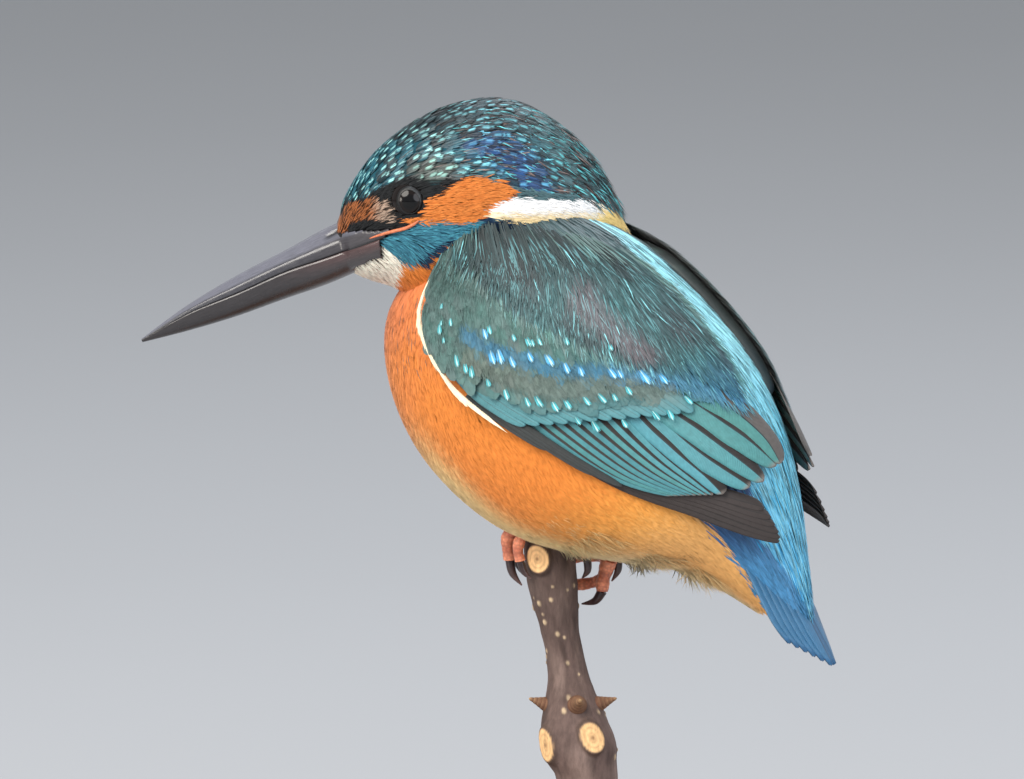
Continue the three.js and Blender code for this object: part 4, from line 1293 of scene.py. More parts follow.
def edgePiece(side, name):
    # cream feathers that lie along the front edge of the wing
    look = edgeLook
    dice = np.random.default_rng(71 + side)
    share = np.linspace(0.0, 0.97, look["count"])
    line = np.array(wingPlan["leadingEdge"])
    t, angle = smoothThrough(line[:, 0], share), smoothThrough(line[:, 1], share)
    dx = np.gradient(t * wingSheet["along"])
    dy = np.gradient(angle * wingSheet["perDegree"])
    count = look["count"]
    thin = np.interp(share, [0, 0.3, 0.5, 0.9, 1], [0.35, 0.5, 1, 1, 0.5])
    roots = {"t": t, "angle": angle, "side": np.full(count, side), "slant": np.degrees(np.arctan2(dy, dx)),
        "length": look["length"] * dice.uniform(0.8, 1.2, count), "width": look["width"] * thin,
        "rise": look["rise"] * np.ones(count)}
    ground = np.tile(wingTone["cream"], (count, 1))
    feathered(name, [], barbPlumage, wingForm, roots, ground, look, dice)


# Flight feathers: stiff vanes of close barbs, the narrow outer web coloured and the inner one brown.
def webbedPlumage(name, look):
    def links(add):
        vane = add("UVMap", {"uv_map": "Vane"})
        share = add("SeparateXYZ", {0: vane})
        place = add("TexCoord")
        outer = add("Attribute", {"attribute_name": "ground"})
        inner = add("Attribute", {"attribute_name": "mark"})
        shaft = look["shaft"]
        web = add("MapRange", {"interpolation_type": "SMOOTHSTEP", 0: share.outputs["X"], 1: shaft - 0.03,
            2: shaft})
        colour = add("Mix", {"data_type": "RGBA", 0: web, 6: inner, 7: outer})
        tip = add("MapRange", {"interpolation_type": "SMOOTHSTEP", 0: share.outputs["Y"], 1: look["tipFrom"],
            2: 1.0})
        tipped = add("Mix", {"data_type": "RGBA", 0: tip, 6: colour.outputs[2], 7: rgba(look["tip"])})
        toShaft = add("Math", {"operation": "SUBTRACT", 0: share.outputs["X"], 1: shaft})
        fromShaft = add("Math", {"operation": "ABSOLUTE", 0: toShaft})
        line = add("MapRange", {"interpolation_type": "SMOOTHSTEP", 0: fromShaft, 1: 0.012, 2: 0.035, 3: 1,
            4: 0})
        lined = add("Mix", {"data_type": "RGBA", 0: line, 6: tipped.outputs[2], 7: rgba(look["shaftTone"])})
        grain = add("TexNoise", {"Scale": 1 / (0.8 * millimetre), "Detail": 3,
            "Vector": place.outputs["Object"]})
        ridges = barbRidges(add, fromShaft, share.outputs["Y"], look["sweep"], look["barbs"])
        value = add("MapRange", {0: grain, 1: 0.25, 2: 0.75, 3: 0.88, 4: 1.12})
        streak = add("Math", {"operation": "MULTIPLY_ADD", 0: ridges, 1: 0.07, 2: value})
        shaded = add("HueSaturation", {"Value": streak, "Color": lined.outputs[2]})
        bump = add("Bump", {"Strength": 0.4, "Distance": 0.06 * millimetre, "Height": ridges})
        return {"Base Color": shaded, "Normal": bump}

    return newMaterial(name, look["finish"], links)


secondaryPlumage = webbedPlumage("teal edged flight feathers",
    {"shaft": 0.5, "tipFrom": 0.93, "tip": "#8a8078", "shaftTone": "#2c3438", "sweep": 0.12, "barbs": 90,
    "finish": vaneFinish})
greaterPlumage = webbedPlumage("smooth grey teal coverts",
    {"shaft": 0.5, "tipFrom": 0.45, "tip": "#57929a", "shaftTone": "#4f7377", "sweep": 0.12, "barbs": 60,
    "finish": vaneFinish})
primaryPlumage = webbedPlumage("brown flight feathers",
    {"shaft": 0.5, "tipFrom": 0.97, "tip": "#4a4442", "shaftTone": "#262424", "sweep": 0.1, "barbs": 110,
    "finish": vaneFinish})
tailPlumage = webbedPlumage("steel blue tail feathers",
    {"shaft": 0.5, "tipFrom": 0.96, "tip": "#3a6f9c", "shaftTone": "#1d3550", "sweep": 0.12, "barbs": 80,
    "finish": glossFinish})

vaneSize = {"rows": 34, "columns": 9, "tipShare": 0.2, "bluntness": 0.1, "thickness": 0.16}


def tipWidths(share):
    into = np.maximum(0, (share - 1 + vaneSize["tipShare"]) / vaneSize["tipShare"])
    return np.maximum(vaneSize["bluntness"], np.sqrt(1 - into ** 2))


def vaneStrip(number, total):
    # each large vane has its own strip of the map, its two faces side by side
    rows, columns = vaneSize["rows"], vaneSize["columns"]
    across = np.concatenate([np.linspace(0, 1, columns), np.linspace(1, 0, columns)])
    share = np.linspace(0, 1, rows)
    vane = np.stack(np.broadcast_arrays(across[None, :], share[:, None]), -1).reshape(-1, 2)
    vane = np.concatenate([vane, [[0.5, 0], [0.5, 1]]])
    under = np.tile(np.repeat([0.0, 1.0], columns), rows)
    under = np.concatenate([under, [0, 0]])
    strip = (number + 0.06 + 0.42 * vane[:, 0] + 0.46 * under) / total
    return vane, np.stack([strip, 0.02 + 0.96 * vane[:, 1]], -1)


def wingVane(line, side, level, outer, inner, dive):
    # across and along the line on the wing laid flat, lifted by level and a low crown, diving at the root
    rows, columns = vaneSize["rows"], vaneSize["columns"]
    share = np.linspace(0, 1, rows)
    line = np.asarray(line, float)
    t, angle = smoothThrough(line[:, 0], share), smoothThrough(line[:, 1], share)
    x, y = onSheet(t, angle)
    along = unit(np.stack([np.gradient(x), np.gradient(y)], -1))
    across = np.linspace(-1, 1, columns)
    outer, inner = (np.interp(share, np.linspace(0, 1, len(web)), web)[:, None] for web in (outer, inner))
    offset = np.where(across > 0, across * outer, across * inner) * tipWidths(share)[:, None]
    sheetX = x[:, None] - along[:, 1:] * offset
    sheetY = y[:, None] + along[:, :1] * offset
    crown = (0.08 * (1 - across ** 2) - 0.25 * np.minimum(across,
        0) ** 2)[None, :] - dive * ((1 - share) ** 2)[:, None]
    rings = []
    for step, order in ((0, 1), (-vaneSize["thickness"], -1)):
        lift = level + crown + step
        rings.append(surfacePoint(wingForm, sheetX / wingSheet["along"], sheetY / wingSheet["perDegree"],
            np.full(offset.shape, side), lift)[:, ::order])
    return closedTube(np.concatenate(rings, 1))


def vanePiece(name, replaced, material, vanes):
    # vanes: point and face sets with their outer and inner web's colours
    points, faces = joinedParts([(p, f) for p, f, _, _ in vanes])
    each = vaneSize["rows"] * vaneSize["columns"] * 2 + 2
    maps = [vaneStrip(k, len(vanes)) for k in range(len(vanes))]
    ground = np.concatenate([np.tile(outer, (each, 1)) for _, _, outer, _ in vanes])
    inner = np.concatenate([np.tile([*tone, 1.0], (each, 1)) for _, _, _, tone in vanes])
    uvs = {"OFBake": np.concatenate([m[1] for m in maps]), "Vane": np.concatenate([m[0] for m in maps])}
    return addPiece(name, replaced, points, faces, material, uvs, {"ground": ground, "mark": inner})


# Lines are the shafts, from under the coverts to the tip; outer and inner are the webs' widths from root to
# tip.
flightPlan = {
    "outerSecondaries": {"count": 8, "first": [[0.36, 93], [0.46, 87], [0.56, 81], [0.645, 72.5]],
        "last": [[0.46, 63.5], [0.54, 62], [0.62, 60.5], [0.69, 60]], "level": -1.0, "step": 0.1,
        "outer": [0.9, 0.9, 0.75, 0.5], "inner": [1.4, 1.2]},
    "inner": [{"line": [[0.44, 60], [0.5, 58.8], [0.56, 57], [0.638, 55.5], [0.7, 56.2]],
        "outer": [1.4, 1.55, 1.5, 1.3], "inner": [2.2, 2.2]},
        {"line": [[0.45, 56], [0.505, 53.2], [0.57, 50.5], [0.647, 47], [0.718, 42.8]],
        "outer": [1.5, 1.8, 2.5, 2.3], "inner": [2.2, 2.2]},
        {"line": [[0.44, 51.5], [0.497, 47.8], [0.55, 43.8], [0.618, 39.8], [0.723, 34.2]],
        "outer": [2, 2.4, 2.6, 2.4], "inner": [2.2, 2.2]},
        {"line": [[0.43, 45], [0.485, 40], [0.547, 34.2], [0.61, 28.8], [0.703, 22.5]],
        "outer": [2.3, 2.6, 3.1, 2.8], "inner": [1.8, 1.8]},
        {"line": [[0.41, 41], [0.465, 35.2], [0.547, 26], [0.628, 20.5], [0.703, 20]],
        "outer": [1.8, 2.3, 2.3, 1.4], "inner": [3.4, 3]}],
    "primaries": {"level": -1.5, "step": 0.08, "outer": [1.1, 1.3], "inner": [1.9, 1.9],
        "lines": [[[0.4, 96], [0.52, 86], [0.66, 76], [0.78, 64], [0.856, 48.5]],
        [[0.42, 93], [0.53, 84], [0.66, 73], [0.78, 60], [0.85, 46]],
        [[0.44, 90], [0.54, 81.5], [0.66, 70], [0.77, 57], [0.838, 44.5]],
        [[0.46, 87], [0.55, 79], [0.66, 67.5], [0.76, 55], [0.82, 43.5]],
        [[0.48, 84], [0.56, 76], [0.66, 65], [0.75, 53], [0.8, 42.5]],
        [[0.5, 80], [0.57, 73], [0.66, 62.5], [0.73, 51.5], [0.775, 42.5]]]},
    "greaterCoverts": {"count": 13, "first": [[0.27, 107], [0.34, 101], [0.418, 92.5]],
        "last": [[0.39, 51], [0.45, 47], [0.505, 43]], "level": -0.6, "step": 0.06,
        "outer": [0.95, 0.95, 0.7], "inner": [1.5, 1.5, 0.9]},
    "alula": {"level": -0.95, "step": 0.12, "outer": [0.5, 0.45], "inner": [0.8, 0.7],
        "lines": [[[0.33, 106], [0.4, 99], [0.47, 92.5]], [[0.33, 103.5], [0.43, 94.5], [0.54, 86.5]],
        [[0.36, 99], [0.45, 91.5], [0.58, 82.5]]]},
}


def between(first, last, share):
    return np.array(first) * (1 - share) + np.array(last) * share


def secondaryPiece(side, name, replaced):
    tone = wingTone
    plan = flightPlan["outerSecondaries"]
    vanes = []
    dice = np.random.default_rng(81)
    for k in range(plan["count"]):
        share = k / (plan["count"] - 1)
        line = between(plan["first"], plan["last"], share)
        web = blend(tone["flight"], tone["flightGreen"], dice.uniform(0, 0.6)) * dice.uniform(0.9, 1.06)
        made = wingVane(line, side, plan["level"] + k * plan["step"], plan["outer"], plan["inner"], 1.2)
        vanes.append((*made, web, tone["inner"]))
    level = plan["level"] + plan["count"] * plan["step"]
    for k, feather in enumerate(flightPlan["inner"]):
        web = blend(tone["flight"], tone["flightGreen"], 0.22 * k) * dice.uniform(0.95, 1.05)
        made = wingVane(feather["line"], side, level + 0.11 * k, feather["outer"], feather["inner"], 1.4)
        vanes.append((*made, web, blend(tone["inner"], tone["edge"], 0.35 * (k == 4))))
    return vanePiece(name, replaced, secondaryPlumage, vanes)


def primaryPiece(side, name, replaced):
    vanes = []
    plan = flightPlan["primaries"]
    for k, line in enumerate(plan["lines"]):
        made = wingVane(line, side, plan["level"] + k * plan["step"], plan["outer"], plan["inner"], 0.6)
        vanes.append((*made, wingTone["primary"] * (0.85 + 0.05 * k), wingTone["primary"] * 0.8))
    plan = flightPlan["alula"]
    for k, line in enumerate(plan["lines"]):
        made = wingVane(line, side, plan["level"] + k * plan["step"], plan["outer"], plan["inner"], 0.6)
        vanes.append((*made, wingTone["charcoal"] * 0.7, wingTone["charcoal"] * 0.45))
    return vanePiece(name, replaced, primaryPlumage, vanes)


def greaterCovertPiece(side, name):
    plan = flightPlan["greaterCoverts"]
    vanes = []
    for k in range(plan["count"]):
        share = k / (plan["count"] - 1)
        line = between(plan["first"], plan["last"], share)
        made = wingVane(line, side, plan["level"] + k * plan["step"], plan["outer"], plan["inner"], 0.8)
        web = blend(wingTone["teal"], wingTone["grey"], share * 0.8)
        vanes.append((*made, web, web * 0.93))
    return vanePiece(name, [], greaterPlumage, vanes)


for side, word in ((left, "left"), (right, "right")):
    wing = "wing_" + word
    covertNode = wing + "_coverts"
    scapularNode = wing + "_scapulars"
    bedPiece(side, wing + "_bed", [covertNode, scapularNode])
    primaryPiece(side, wing + "_primary_vanes", [wing + "_primaries"])
    secondaryPiece(side, wing + "_secondary_vanes", [wing + "_secondaries"])
    greaterCovertPiece(side, wing + "_greater_coverts")
    scapularPiece(side, wing + "_scapular_feathers", [scapularNode])
    covertPiece(side, wing + "_covert_feathers", [covertNode])
    spotPiece(side, wing + "_spots")
    edgePiece(side, wing + "_front_edge")
print("wings made")


# tail

tailPlan = {"root": [30.6, 88.3], "tip": [45.6, 62.2], "perSide": 6, "halfWidth": 2.6,
    "widths": [[0, 0.85], [0.4, 1], [0.7, 1], [1, 0.9]], "middle": 0.8, "spread": 1.25, "rootSpread": 1.1,
    "drop": 0.42, "shortening": 1.2, "cut": 2.2, "thickness": 0.25}
tailTone = tones({"outer": "#3f7196", "inner": "#376489"})


def tailPiece():
    # six vanes a side, the middle pair uppermost and longest, each tip cut back towards its outer edge
    plan = tailPlan
    root, tip = np.array(plan["root"]), np.array(plan["tip"])
    along = (tip - root) / np.linalg.norm(tip - root)
    upward = np.array([-along[1], along[0]])
    rows, columns = vaneSize["rows"], vaneSize["columns"]
    share = np.linspace(0, 1, rows)
    across = np.linspace(-1, 1, columns)
    vanes = []
    for side in (left, right):
        for i in range(plan["perSide"]):
            start = root - upward * plan["drop"] * i
            end = tip - along * plan["shortening"] * i - upward * plan["drop"] * i
            middle = start + (end - start) * share[:, None]
            y = side * (plan["rootSpread"] * i + (plan["middle"] + (plan["spread"] - plan["rootSpread"]) * i)
                * share)
            half = plan["halfWidth"] * tipWidths(share) * lookUp(share, plan["widths"])
            lift = 0.3 * (1 - across ** 2)[None, :] * np.ones((rows, 1))
            back = plan["cut"] * (share ** 3 * half / plan["halfWidth"])[:, None] * (1 + across)[None, :] / 2
            rings = []
            for step, order in ((0, 1), (-plan["thickness"], -1)):
                place = middle[:, None, :] + upward * (lift + step)[..., None] - along * back[..., None]
                ring = np.stack([place[..., 0], y[:, None] + side * across * half[:, None], place[..., 1]],
                    -1)
                rings.append(ring[:, ::order])
            made = closedTube(np.concatenate(rings, 1))
            vanes.append((*made, tailTone["outer"], tailTone["inner"]))
    return vanePiece("tail_vanes", ["tail"], tailPlumage, vanes)


tailPiece()


# bill and eyes

billPlan = {
    "ridge": [[-15, -1.2], [-23, -4.35], [-31, -8.65], [-39, -12.85], [-47, -17.7], [-54.6, -23.3]],
    "edge": [[-13, -4.9], [-22, -8.7], [-30.5, -11.7], [-38.5, -15.35], [-46.8, -18.9], [-54.6, -23.5]],
    "keel": [[-13, -9.3], [-22.6, -13.7], [-31, -16.7], [-39, -19.6], [-47, -22], [-54.4, -23.9]],
    "halfWidth": [5, 4.3, 3.5, 2.7, 1.8, 0.6], "rows": 170, "columns": 44, "proud": 0.12,
    "faceEnd": -20, "leaving": 0.9, "rounding": 3,
    "section": [[0, 1], [0.4, 0.94], [0.5, 0.86], [0.93, 0.34], [1, 0]],
    "nostril": {"at": [-22.6, -5.5], "half": 1.7, "width": 0.35, "depth": 0.32},
}
# the ridge tone is a painted reflection of the sky on the upper facet
billTone = tones({"horn": "#3c3c42", "ridge": "#686974", "red": "#6e403a", "lower": "#2c292b",
    "base": "#433e40"})

# Bill: horn, black and hard, polished by use, with fine lines along it that break its highlight.
def hornLinks(add):
    place = add("TexCoord")
    tone = add("Attribute", {"attribute_name": "ground"})
    line = add("UVMap", {"uv_map": "Along"})
    stretched = add("Mapping", {"Scale": (4, 60, 1), "Vector": line})
    streaks = add("TexNoise", {"Scale": 1.0, "Detail": 5, "Roughness": 0.65, "Vector": stretched})
    scuffs = add("TexNoise", {"Scale": 1 / (1.5 * millimetre), "Detail": 4,
        "Vector": place.outputs["Object"]})
    rough = add("MapRange", {0: scuffs, 1: 0.3, 2: 0.7, 3: 0.14, 4: 0.3})
    value = add("MapRange", {0: streaks, 1: 0.3, 2: 0.7, 3: 0.75, 4: 1.4})
    shaded = add("HueSaturation", {"Value": value, "Color": tone})
    bump = add("Bump", {"Strength": 0.25, "Distance": 0.1 * millimetre, "Height": streaks})
    return {"Base Color": shaded, "Roughness": rough, "Normal": bump}


billHorn = newMaterial("black bill horn", {"Specular IOR Level": 0.6, "IOR": 1.54}, hornLinks)


def inHead(points):
    return placed(headForm, points)


def faceWidth(x, z):
    # how far out the head's side is over a place on its middle plane: the half width times the sine that
    # belongs to the height as a cosine
    middle = np.stack([x, np.zeros_like(x), z], -1).reshape(-1, 3)
    t, _, height = whereOn(headForm, placed(headForm, middle))
    out = smoothThrough(headForm["halfWidth"], t) * np.sqrt(np.clip(1 - height ** 2, 0, 1))
    return out.reshape(np.shape(x))


def mandiblePiece(name, outline, shelf, replaced):
    # from the cutting edge, up a flat side and over a sloping one to the ridge or keel; at the base the horn
    # spreads until it lies on the face
    plan = billPlan
    rows, columns = plan["rows"], plan["columns"]
    share = np.linspace(0, 1, rows)
    ex, ez, ox, oz = (smoothThrough([p[k] for p in plan[line]], share)[:, None] for line in ("edge", outline)
        for k in (0, 1))
    width = smoothThrough(plan["halfWidth"], share)[:, None] + shelf
    turn = np.linspace(0, math.pi, columns)[None, :]
    arch = np.sin(turn) ** 0.85
    section = lookUp(arch, plan["section"]) if outline == "ridge" else np.abs(np.cos(turn)) ** 0.9
    x = ex + (ox - ex) * arch
    z = ez + (oz - ez) * arch
    out = section * width
    dent = np.zeros_like(x)
    if outline == "ridge":
        hole = plan["nostril"]
        slope = (ox[-1, 0] - ox[0, 0], oz[-1, 0] - oz[0, 0])
        size = math.hypot(*slope)
        dx, dz = x - hole["at"][0], z - hole["at"][1]
        run = (dx * slope[0] + dz * slope[1]) / size
        off = (dx * slope[1] - dz * slope[0]) / size
        dent = np.exp(-(run / hole["half"]) ** 4 - (off / hole["width"]) ** 2)
    face = faceWidth(x, z)
    onFace = inOutline(x, z - headPlan["sink"] * face, headPlan["horn"])
    face = face + plan["proud"] - plan["leaving"] * np.maximum(0, plan["faceEnd"] - x)
    # the larger of the two widths, rounded where they cross
    joined = np.logaddexp(plan["rounding"] * out, plan["rounding"] * face) / plan["rounding"]
    out = np.where(onFace, joined, out) - plan["nostril"]["depth"] * dent
    rings = np.stack([x, np.sign(np.cos(turn)) * out, z], -1)
    points, faces = closedTube(inHead(rings))
    tone = billTone["horn" if outline == "ridge" else "lower"]
    base = (1 - smoothStep(share, 0, 0.5))[:, None] * np.ones_like(x)
    ground = blend(np.broadcast_to(tone, (rows, columns, 3)), billTone["base"], 0.7 * base)
    if outline == "ridge":
        # painted reflection: the upper facet towards the ridge paler violet-grey
        ground = blend(ground, billTone["ridge"], 0.8 * smoothStep(arch, 0.45, 0.6))
        # painted shade in the nostril and along the cutting edge, in the slit between the mandibles
        ground = ground * (1 - 0.85 * np.maximum(dent, 1 - smoothStep(arch, 0.02, 0.14)))[..., None]
    else:
        ground = blend(ground, billTone["red"], 0.32 * base * (1 - smoothStep(arch, 0.1, 0.5)))
        # painted shade at the lower mandible's base, by the gape
        ground = ground * (0.3 + 0.7 * smoothStep(share, 0, 0.07))[:, None, None]
    ground = np.concatenate([ground.reshape(-1, 3), [tone, tone]])
    along = np.stack(np.broadcast_arrays(share[:, None] * 5, turn / math.pi), -1).reshape(-1, 2)
    along = np.concatenate([along, [[0, 0.5], [5, 0.5]]])
    return addPiece(name, [replaced], points, faces, billHorn, {"Along": along},
        {"ground": ground})


mandiblePiece("upper_mandible", "ridge", 0, "bill_upper")
mandiblePiece("lower_mandible", "keel", 0.22, "bill_lower")

# Gape: the bare orange-red skin at the corner of the mouth.
def skinLinks(add):
    place = add("TexCoord")
    tone = add("Attribute", {"attribute_name": "ground"})
    scales = add("TexVoronoi", {"Scale": 1 / (0.55 * millimetre), "Vector": place.outputs["Object"]})
    value = add("MapRange", {0: scales, 1: 0.0, 2: 0.7, 3: 1.15, 4: 0.7})
    shaded = add("HueSaturation", {"Value": value, "Color": tone})
    bump = add("Bump", {"Strength": 0.5, "Distance": 0.12 * millimetre, "Height": value})
    return {"Base Color": shaded, "Normal": bump}


footSkin = newMaterial("scaly red foot skin",
    {"Roughness": 0.42, "Specular IOR Level": 0.45, "Subsurface Weight": 0.05, "Subsurface Scale": 0.001},
    skinLinks)
gapeLine = {"path": [[-16.6, -6.6, 0.1], [-14.8, -6, 0.22], [-12.6, -5.4, 0.3], [-10.6, -4.9, 0.3],
    [-9.2, -4.2, 0.25], [-8.4, -3.6, 0.1]], "tone": "#e08058"}


def gapePiece():
    # the line is drawn on the profile, so each place is first raised to where it lies on the face
    x, seen, radius = np.array(gapeLine["path"]).T
    out = faceWidth(x, seen + 1)
    height = seen + headPlan["sink"] * out
    out = faceWidth(x, height) + billPlan["proud"] + 0.05
    parts = []
    for side in (left, right):
        rings, _ = alongPath(np.stack([x, side * out, height, radius], -1), 30, 10, (0, 0, 1))
        parts.append(closedTube(inHead(rings)))
    points, faces = joinedParts(parts)
    ground = np.tile(linearTone(gapeLine["tone"]), (len(points), 1))
    return addPiece("gape_skin", [], points, faces, footSkin, None, {"ground": ground})


gapePiece()

# Eye: glass on a museum bird, a very dark brown iris round a black pupil under a clear, wet-looking dome.
eyeGlass = newMaterial("dark eye glass",
    {"Roughness": 0.11, "Specular IOR Level": 0.34, "IOR": 1.5}, flecked(0.4, 2, 0.8, 1.2))
eyeTone = tones({"pupil": "#050506", "iris": "#140d0a", "lid": "#0c0c0d", "lidPale": "#3c3f41"})


def eyePiece(side, name, replaced):
    # a sphere with its poles on the axis of sight, its colour by the distance from that axis
    x, y, z = eyePlan["place"]
    polar, turn = np.meshgrid(np.linspace(0.02, math.pi - 0.02, 40),
        np.linspace(0, 2 * math.pi, 64, endpoint=False), indexing="ij")
    radius = eyePlan["radius"]
    rings = np.stack([x + radius * np.sin(polar) * np.cos(turn), side * (y + radius * np.cos(polar)),
        z + radius * np.sin(polar) * np.sin(turn)], -1)
    points, faces = closedTube(inHead(rings))
    iris = smoothStep(np.sin(polar), 0.34, 0.42)
    ground = blend(np.broadcast_to(eyeTone["pupil"], (*polar.shape, 3)), eyeTone["iris"], iris)
    ground = np.concatenate([ground.reshape(-1, 3), [eyeTone["pupil"]] * 2])
    return addPiece(name, [replaced], points, faces, eyeGlass, None, {"ground": ground})


lidPlan = {"reach": [1.9, 2.25], "half": 0.26, "thick": 0.12, "lean": 12}


def lidPiece(side, name):
    # a flat soft ring that lies on the eyeball along a leaning ellipse, paler above and behind
    x, y, z = eyePlan["place"]
    turn, tube = np.meshgrid(np.linspace(0, 2 * math.pi, 72, endpoint=False),
        np.linspace(0, 2 * math.pi, 12, endpoint=False), indexing="ij")
    wide, tall = lidPlan["reach"]
    radial = 1 + lidPlan["half"] / wide * np.cos(tube)
    lean = math.radians(lidPlan["lean"])
    ax, az = wide * radial * np.cos(turn), tall * radial * np.sin(turn)
    px, pz = ax * math.cos(lean) - az * math.sin(lean), ax * math.sin(lean) + az * math.cos(lean)
    out = y + np.sqrt(np.maximum(eyePlan["radius"] ** 2 - px ** 2 - pz ** 2,
        0.5)) + lidPlan["thick"] * np.sin(tube)
    points = np.stack([x + px, side * out, z + pz], -1).reshape(-1, 3)
    faces = outwardFaces(points, [gridFaces(73, 12, True) % (72 * 12)])
    pale = smoothStep(np.cos(turn - 0.7), 0.5, 1.0)
    ground = blend(np.broadcast_to(eyeTone["lid"], (*turn.shape, 3)), eyeTone["lidPale"], pale * 0.8)
    return addPiece(name, [], inHead(points), faces, footSkin, None,
        {"ground": ground.reshape(-1, 3)})


for side, word in ((left, "left"), (right, "right")):
    eyePiece(side, "eyeball_" + word, "eye_" + word)
    lidPiece(side, "eyelid_" + word)
print("bill and eyes made")


# feet

footPlan = {
    "left": {"limbs": [[[-1.5, -6.2, 88, 1.5], [-3.5, -4.6, 84.5, 1.2], [-5.6, -3.2, 82, 1.3]],
        [[-5.6, -3.2, 82, 1.3], [-9, -3.3, 83, 1.1], [-11.9, -2.5, 80.6, 1.15], [-12, -1.8, 76.9, 1]],
        [[-5.6, -3.2, 82, 1.3], [-8.4, -1.2, 83, 1], [-11.2, -0.2, 81.4, 1], [-11.7, 0.3, 77.8, 0.95]],
        [[-5.6, -3.2, 82, 1.3], [-8, -5, 81.6, 0.9], [-8.9, -5.4, 79.4, 0.9], [-8.6, -5.2, 77.2, 0.8]],
        [[-5.6, -3.2, 82, 1.3], [-2.4, -1.6, 81.9, 1], [0, 0.2, 80.4, 0.9], [0.8, 0.9, 77.6, 0.8]]],
        "claws": {"middle": [[-12, -1.8, 76.9, 0.8], [-11.4, -2, 74.6, 0.65], [-9.6, -2.3, 72.7, 0.12]],
        "outer": [[-11.7, 0.3, 77.8, 0.8], [-11.3, 0.3, 75.6, 0.6], [-10, 0.2, 73.8, 0.12]],
        "inner": [[-8.6, -5.2, 77.2, 0.7], [-7.9, -5.2, 75.4, 0.55], [-6.8, -4.9, 74.3, 0.12]],
        "hind": [[0.8, 0.9, 77.6, 0.7], [0.9, 1, 75.4, 0.6], [-0.1, 1, 74, 0.12]]}},
    "right": {"limbs": [[[6.5, 6.8, 85, 1.5], [4.6, 6, 80.5, 1.2], [3, 5.2, 76.8, 1.3]],
        [[3, 5.2, 76.8, 1.3], [2.1, 5.4, 74.6, 1.1], [1.8, 5.3, 73, 1.05], [1.7, 5.2, 71.4, 1]],
        [[3, 5.2, 76.8, 1.3], [1.6, 6, 73.6, 1], [-1.4, 6.3, 72.4, 0.95], [-4.6, 5.9, 72, 0.9]],
        [[3, 5.2, 76.8, 1.3], [0.4, 6.6, 77, 0.9], [-2.6, 6.4, 76.8, 0.9], [-5.6, 5.9, 76, 0.8]],
        [[3, 5.2, 76.8, 1.3], [3.6, 6, 77.8, 0.9], [4, 6.4, 77, 0.85]]],
        "claws": {"middle": [[1.7, 5.2, 71.4, 0.85], [0.4, 5.2, 69.7, 0.65], [-1.9, 4.9, 69.1, 0.12]],
        "outer": [[-4.6, 5.9, 72, 0.75], [-6.6, 5.6, 71.6, 0.55], [-8, 4.6, 70.8, 0.12]],
        "inner": [[-5.6, 5.9, 76, 0.7], [-7.4, 5.5, 75.6, 0.55], [-8.8, 4.7, 74.6, 0.12]],
        "hind": [[4, 6.4, 77, 0.75], [4, 6.5, 74.9, 0.6], [2.9, 6.4, 73, 0.12]]}},
}
footTone = tones({"red": "#f89c78", "dark": "#a8503e", "claw": "#2e2122", "clawTip": "#644a46"})

# Claws: smooth dark horn.
clawHorn = newMaterial("dark claw horn",
    {"Roughness": 0.28, "Specular IOR Level": 0.5}, flecked(0.5, 3, 0.75, 1.3))


limbMesh = {"toe": (46, 18), "claw": (24, 14), "bud": (12, 20)}  # rings, and points round each


def toeRings(stations):
    # a tube with swollen pads and raised bands of scale across its upper side
    rings, centre = alongPath(stations, *limbMesh["toe"], (0.3, 0.9, 0.2))
    length = np.linalg.norm(np.diff(centre, axis=0), axis=1).sum()
    share = np.linspace(0, 1, len(centre))
    bands = 0.05 * np.abs(np.sin(math.pi * share * length / 0.9)) + 0.07 * np.sin(2 * math.pi * share * length
        / 3.4)
    return centre[:, None] + (rings - centre[:, None]) * (1 + bands)[:, None, None], bands


def footPieces(word):
    plan = footPlan[word]
    parts, tone = [], []
    for stations in plan["limbs"]:
        rings, bands = toeRings(stations)
        parts.append(closedTube(rings))
        share = np.clip(bands / 0.1, 0, 1)
        colour = blend(np.broadcast_to(footTone["dark"], (len(share), 3)), footTone["red"], 0.5 + 0.5 * share)
        colour = np.repeat(colour, limbMesh["toe"][1], 0)
        tone.append(np.concatenate([colour, colour[:2]]))
    points, faces = joinedParts(parts)
    addPiece("foot_" + word, ["leg_" + word], points, faces, footSkin, None,
        {"ground": np.concatenate(tone)})
    for toe, stations in plan["claws"].items():
        rows, columns = limbMesh["claw"]
        rings, _ = alongPath(stations, rows, columns, (0.3, 0.9, 0.2))
        points, faces = closedTube(rings)
        share = np.repeat(np.linspace(0, 1, rows), columns)
        tone = blend(np.tile(footTone["claw"], (len(share), 1)), footTone["clawTip"], share ** 2)
        tone = np.concatenate([tone, tone[:2]])
        addPiece("horn_claw_" + word + "_" + toe, ["claw_" + word + "_" + toe], points, faces,
            clawHorn, None, {"ground": tone})


for word in ("left", "right"):
    footPieces(word)
print("feet made")


# perch

perchPlan = {
    "path": [[2.6, 33, 4.9], [1.6, 38, 5], [1, 41.5, 5.2], [0.2, 43.5, 5.8], [-0.1, 46, 6.1],
        [-0.9, 49.8, 5.6], [-1.9, 56, 3.8], [-2.6, 60.1, 3.2], [-3.6, 64.8, 3.2], [-5, 72.8, 4.15],
        [-5.7, 81, 4.1]],
    "scars": [{"z": 77.6, "facing": -93, "wide": 1.9, "tall": 2.4},
        {"z": 48.2, "facing": -43, "wide": 2, "tall": 2.6},
        {"z": 46.6, "facing": -124, "wide": 2, "tall": 2.9}],
    "lenticels": 50,
}
barkTone = tones({"bark": "#5c4c47", "dark": "#342926", "light": "#86736b", "scar": "#efc28c",
    "scarDark": "#8a6649", "rim": "#55453e", "lenticel": "#d8bf9c", "bud": "#6b4a3a", "budEdge": "#a98a66",
    "wood": "#c9a878"})

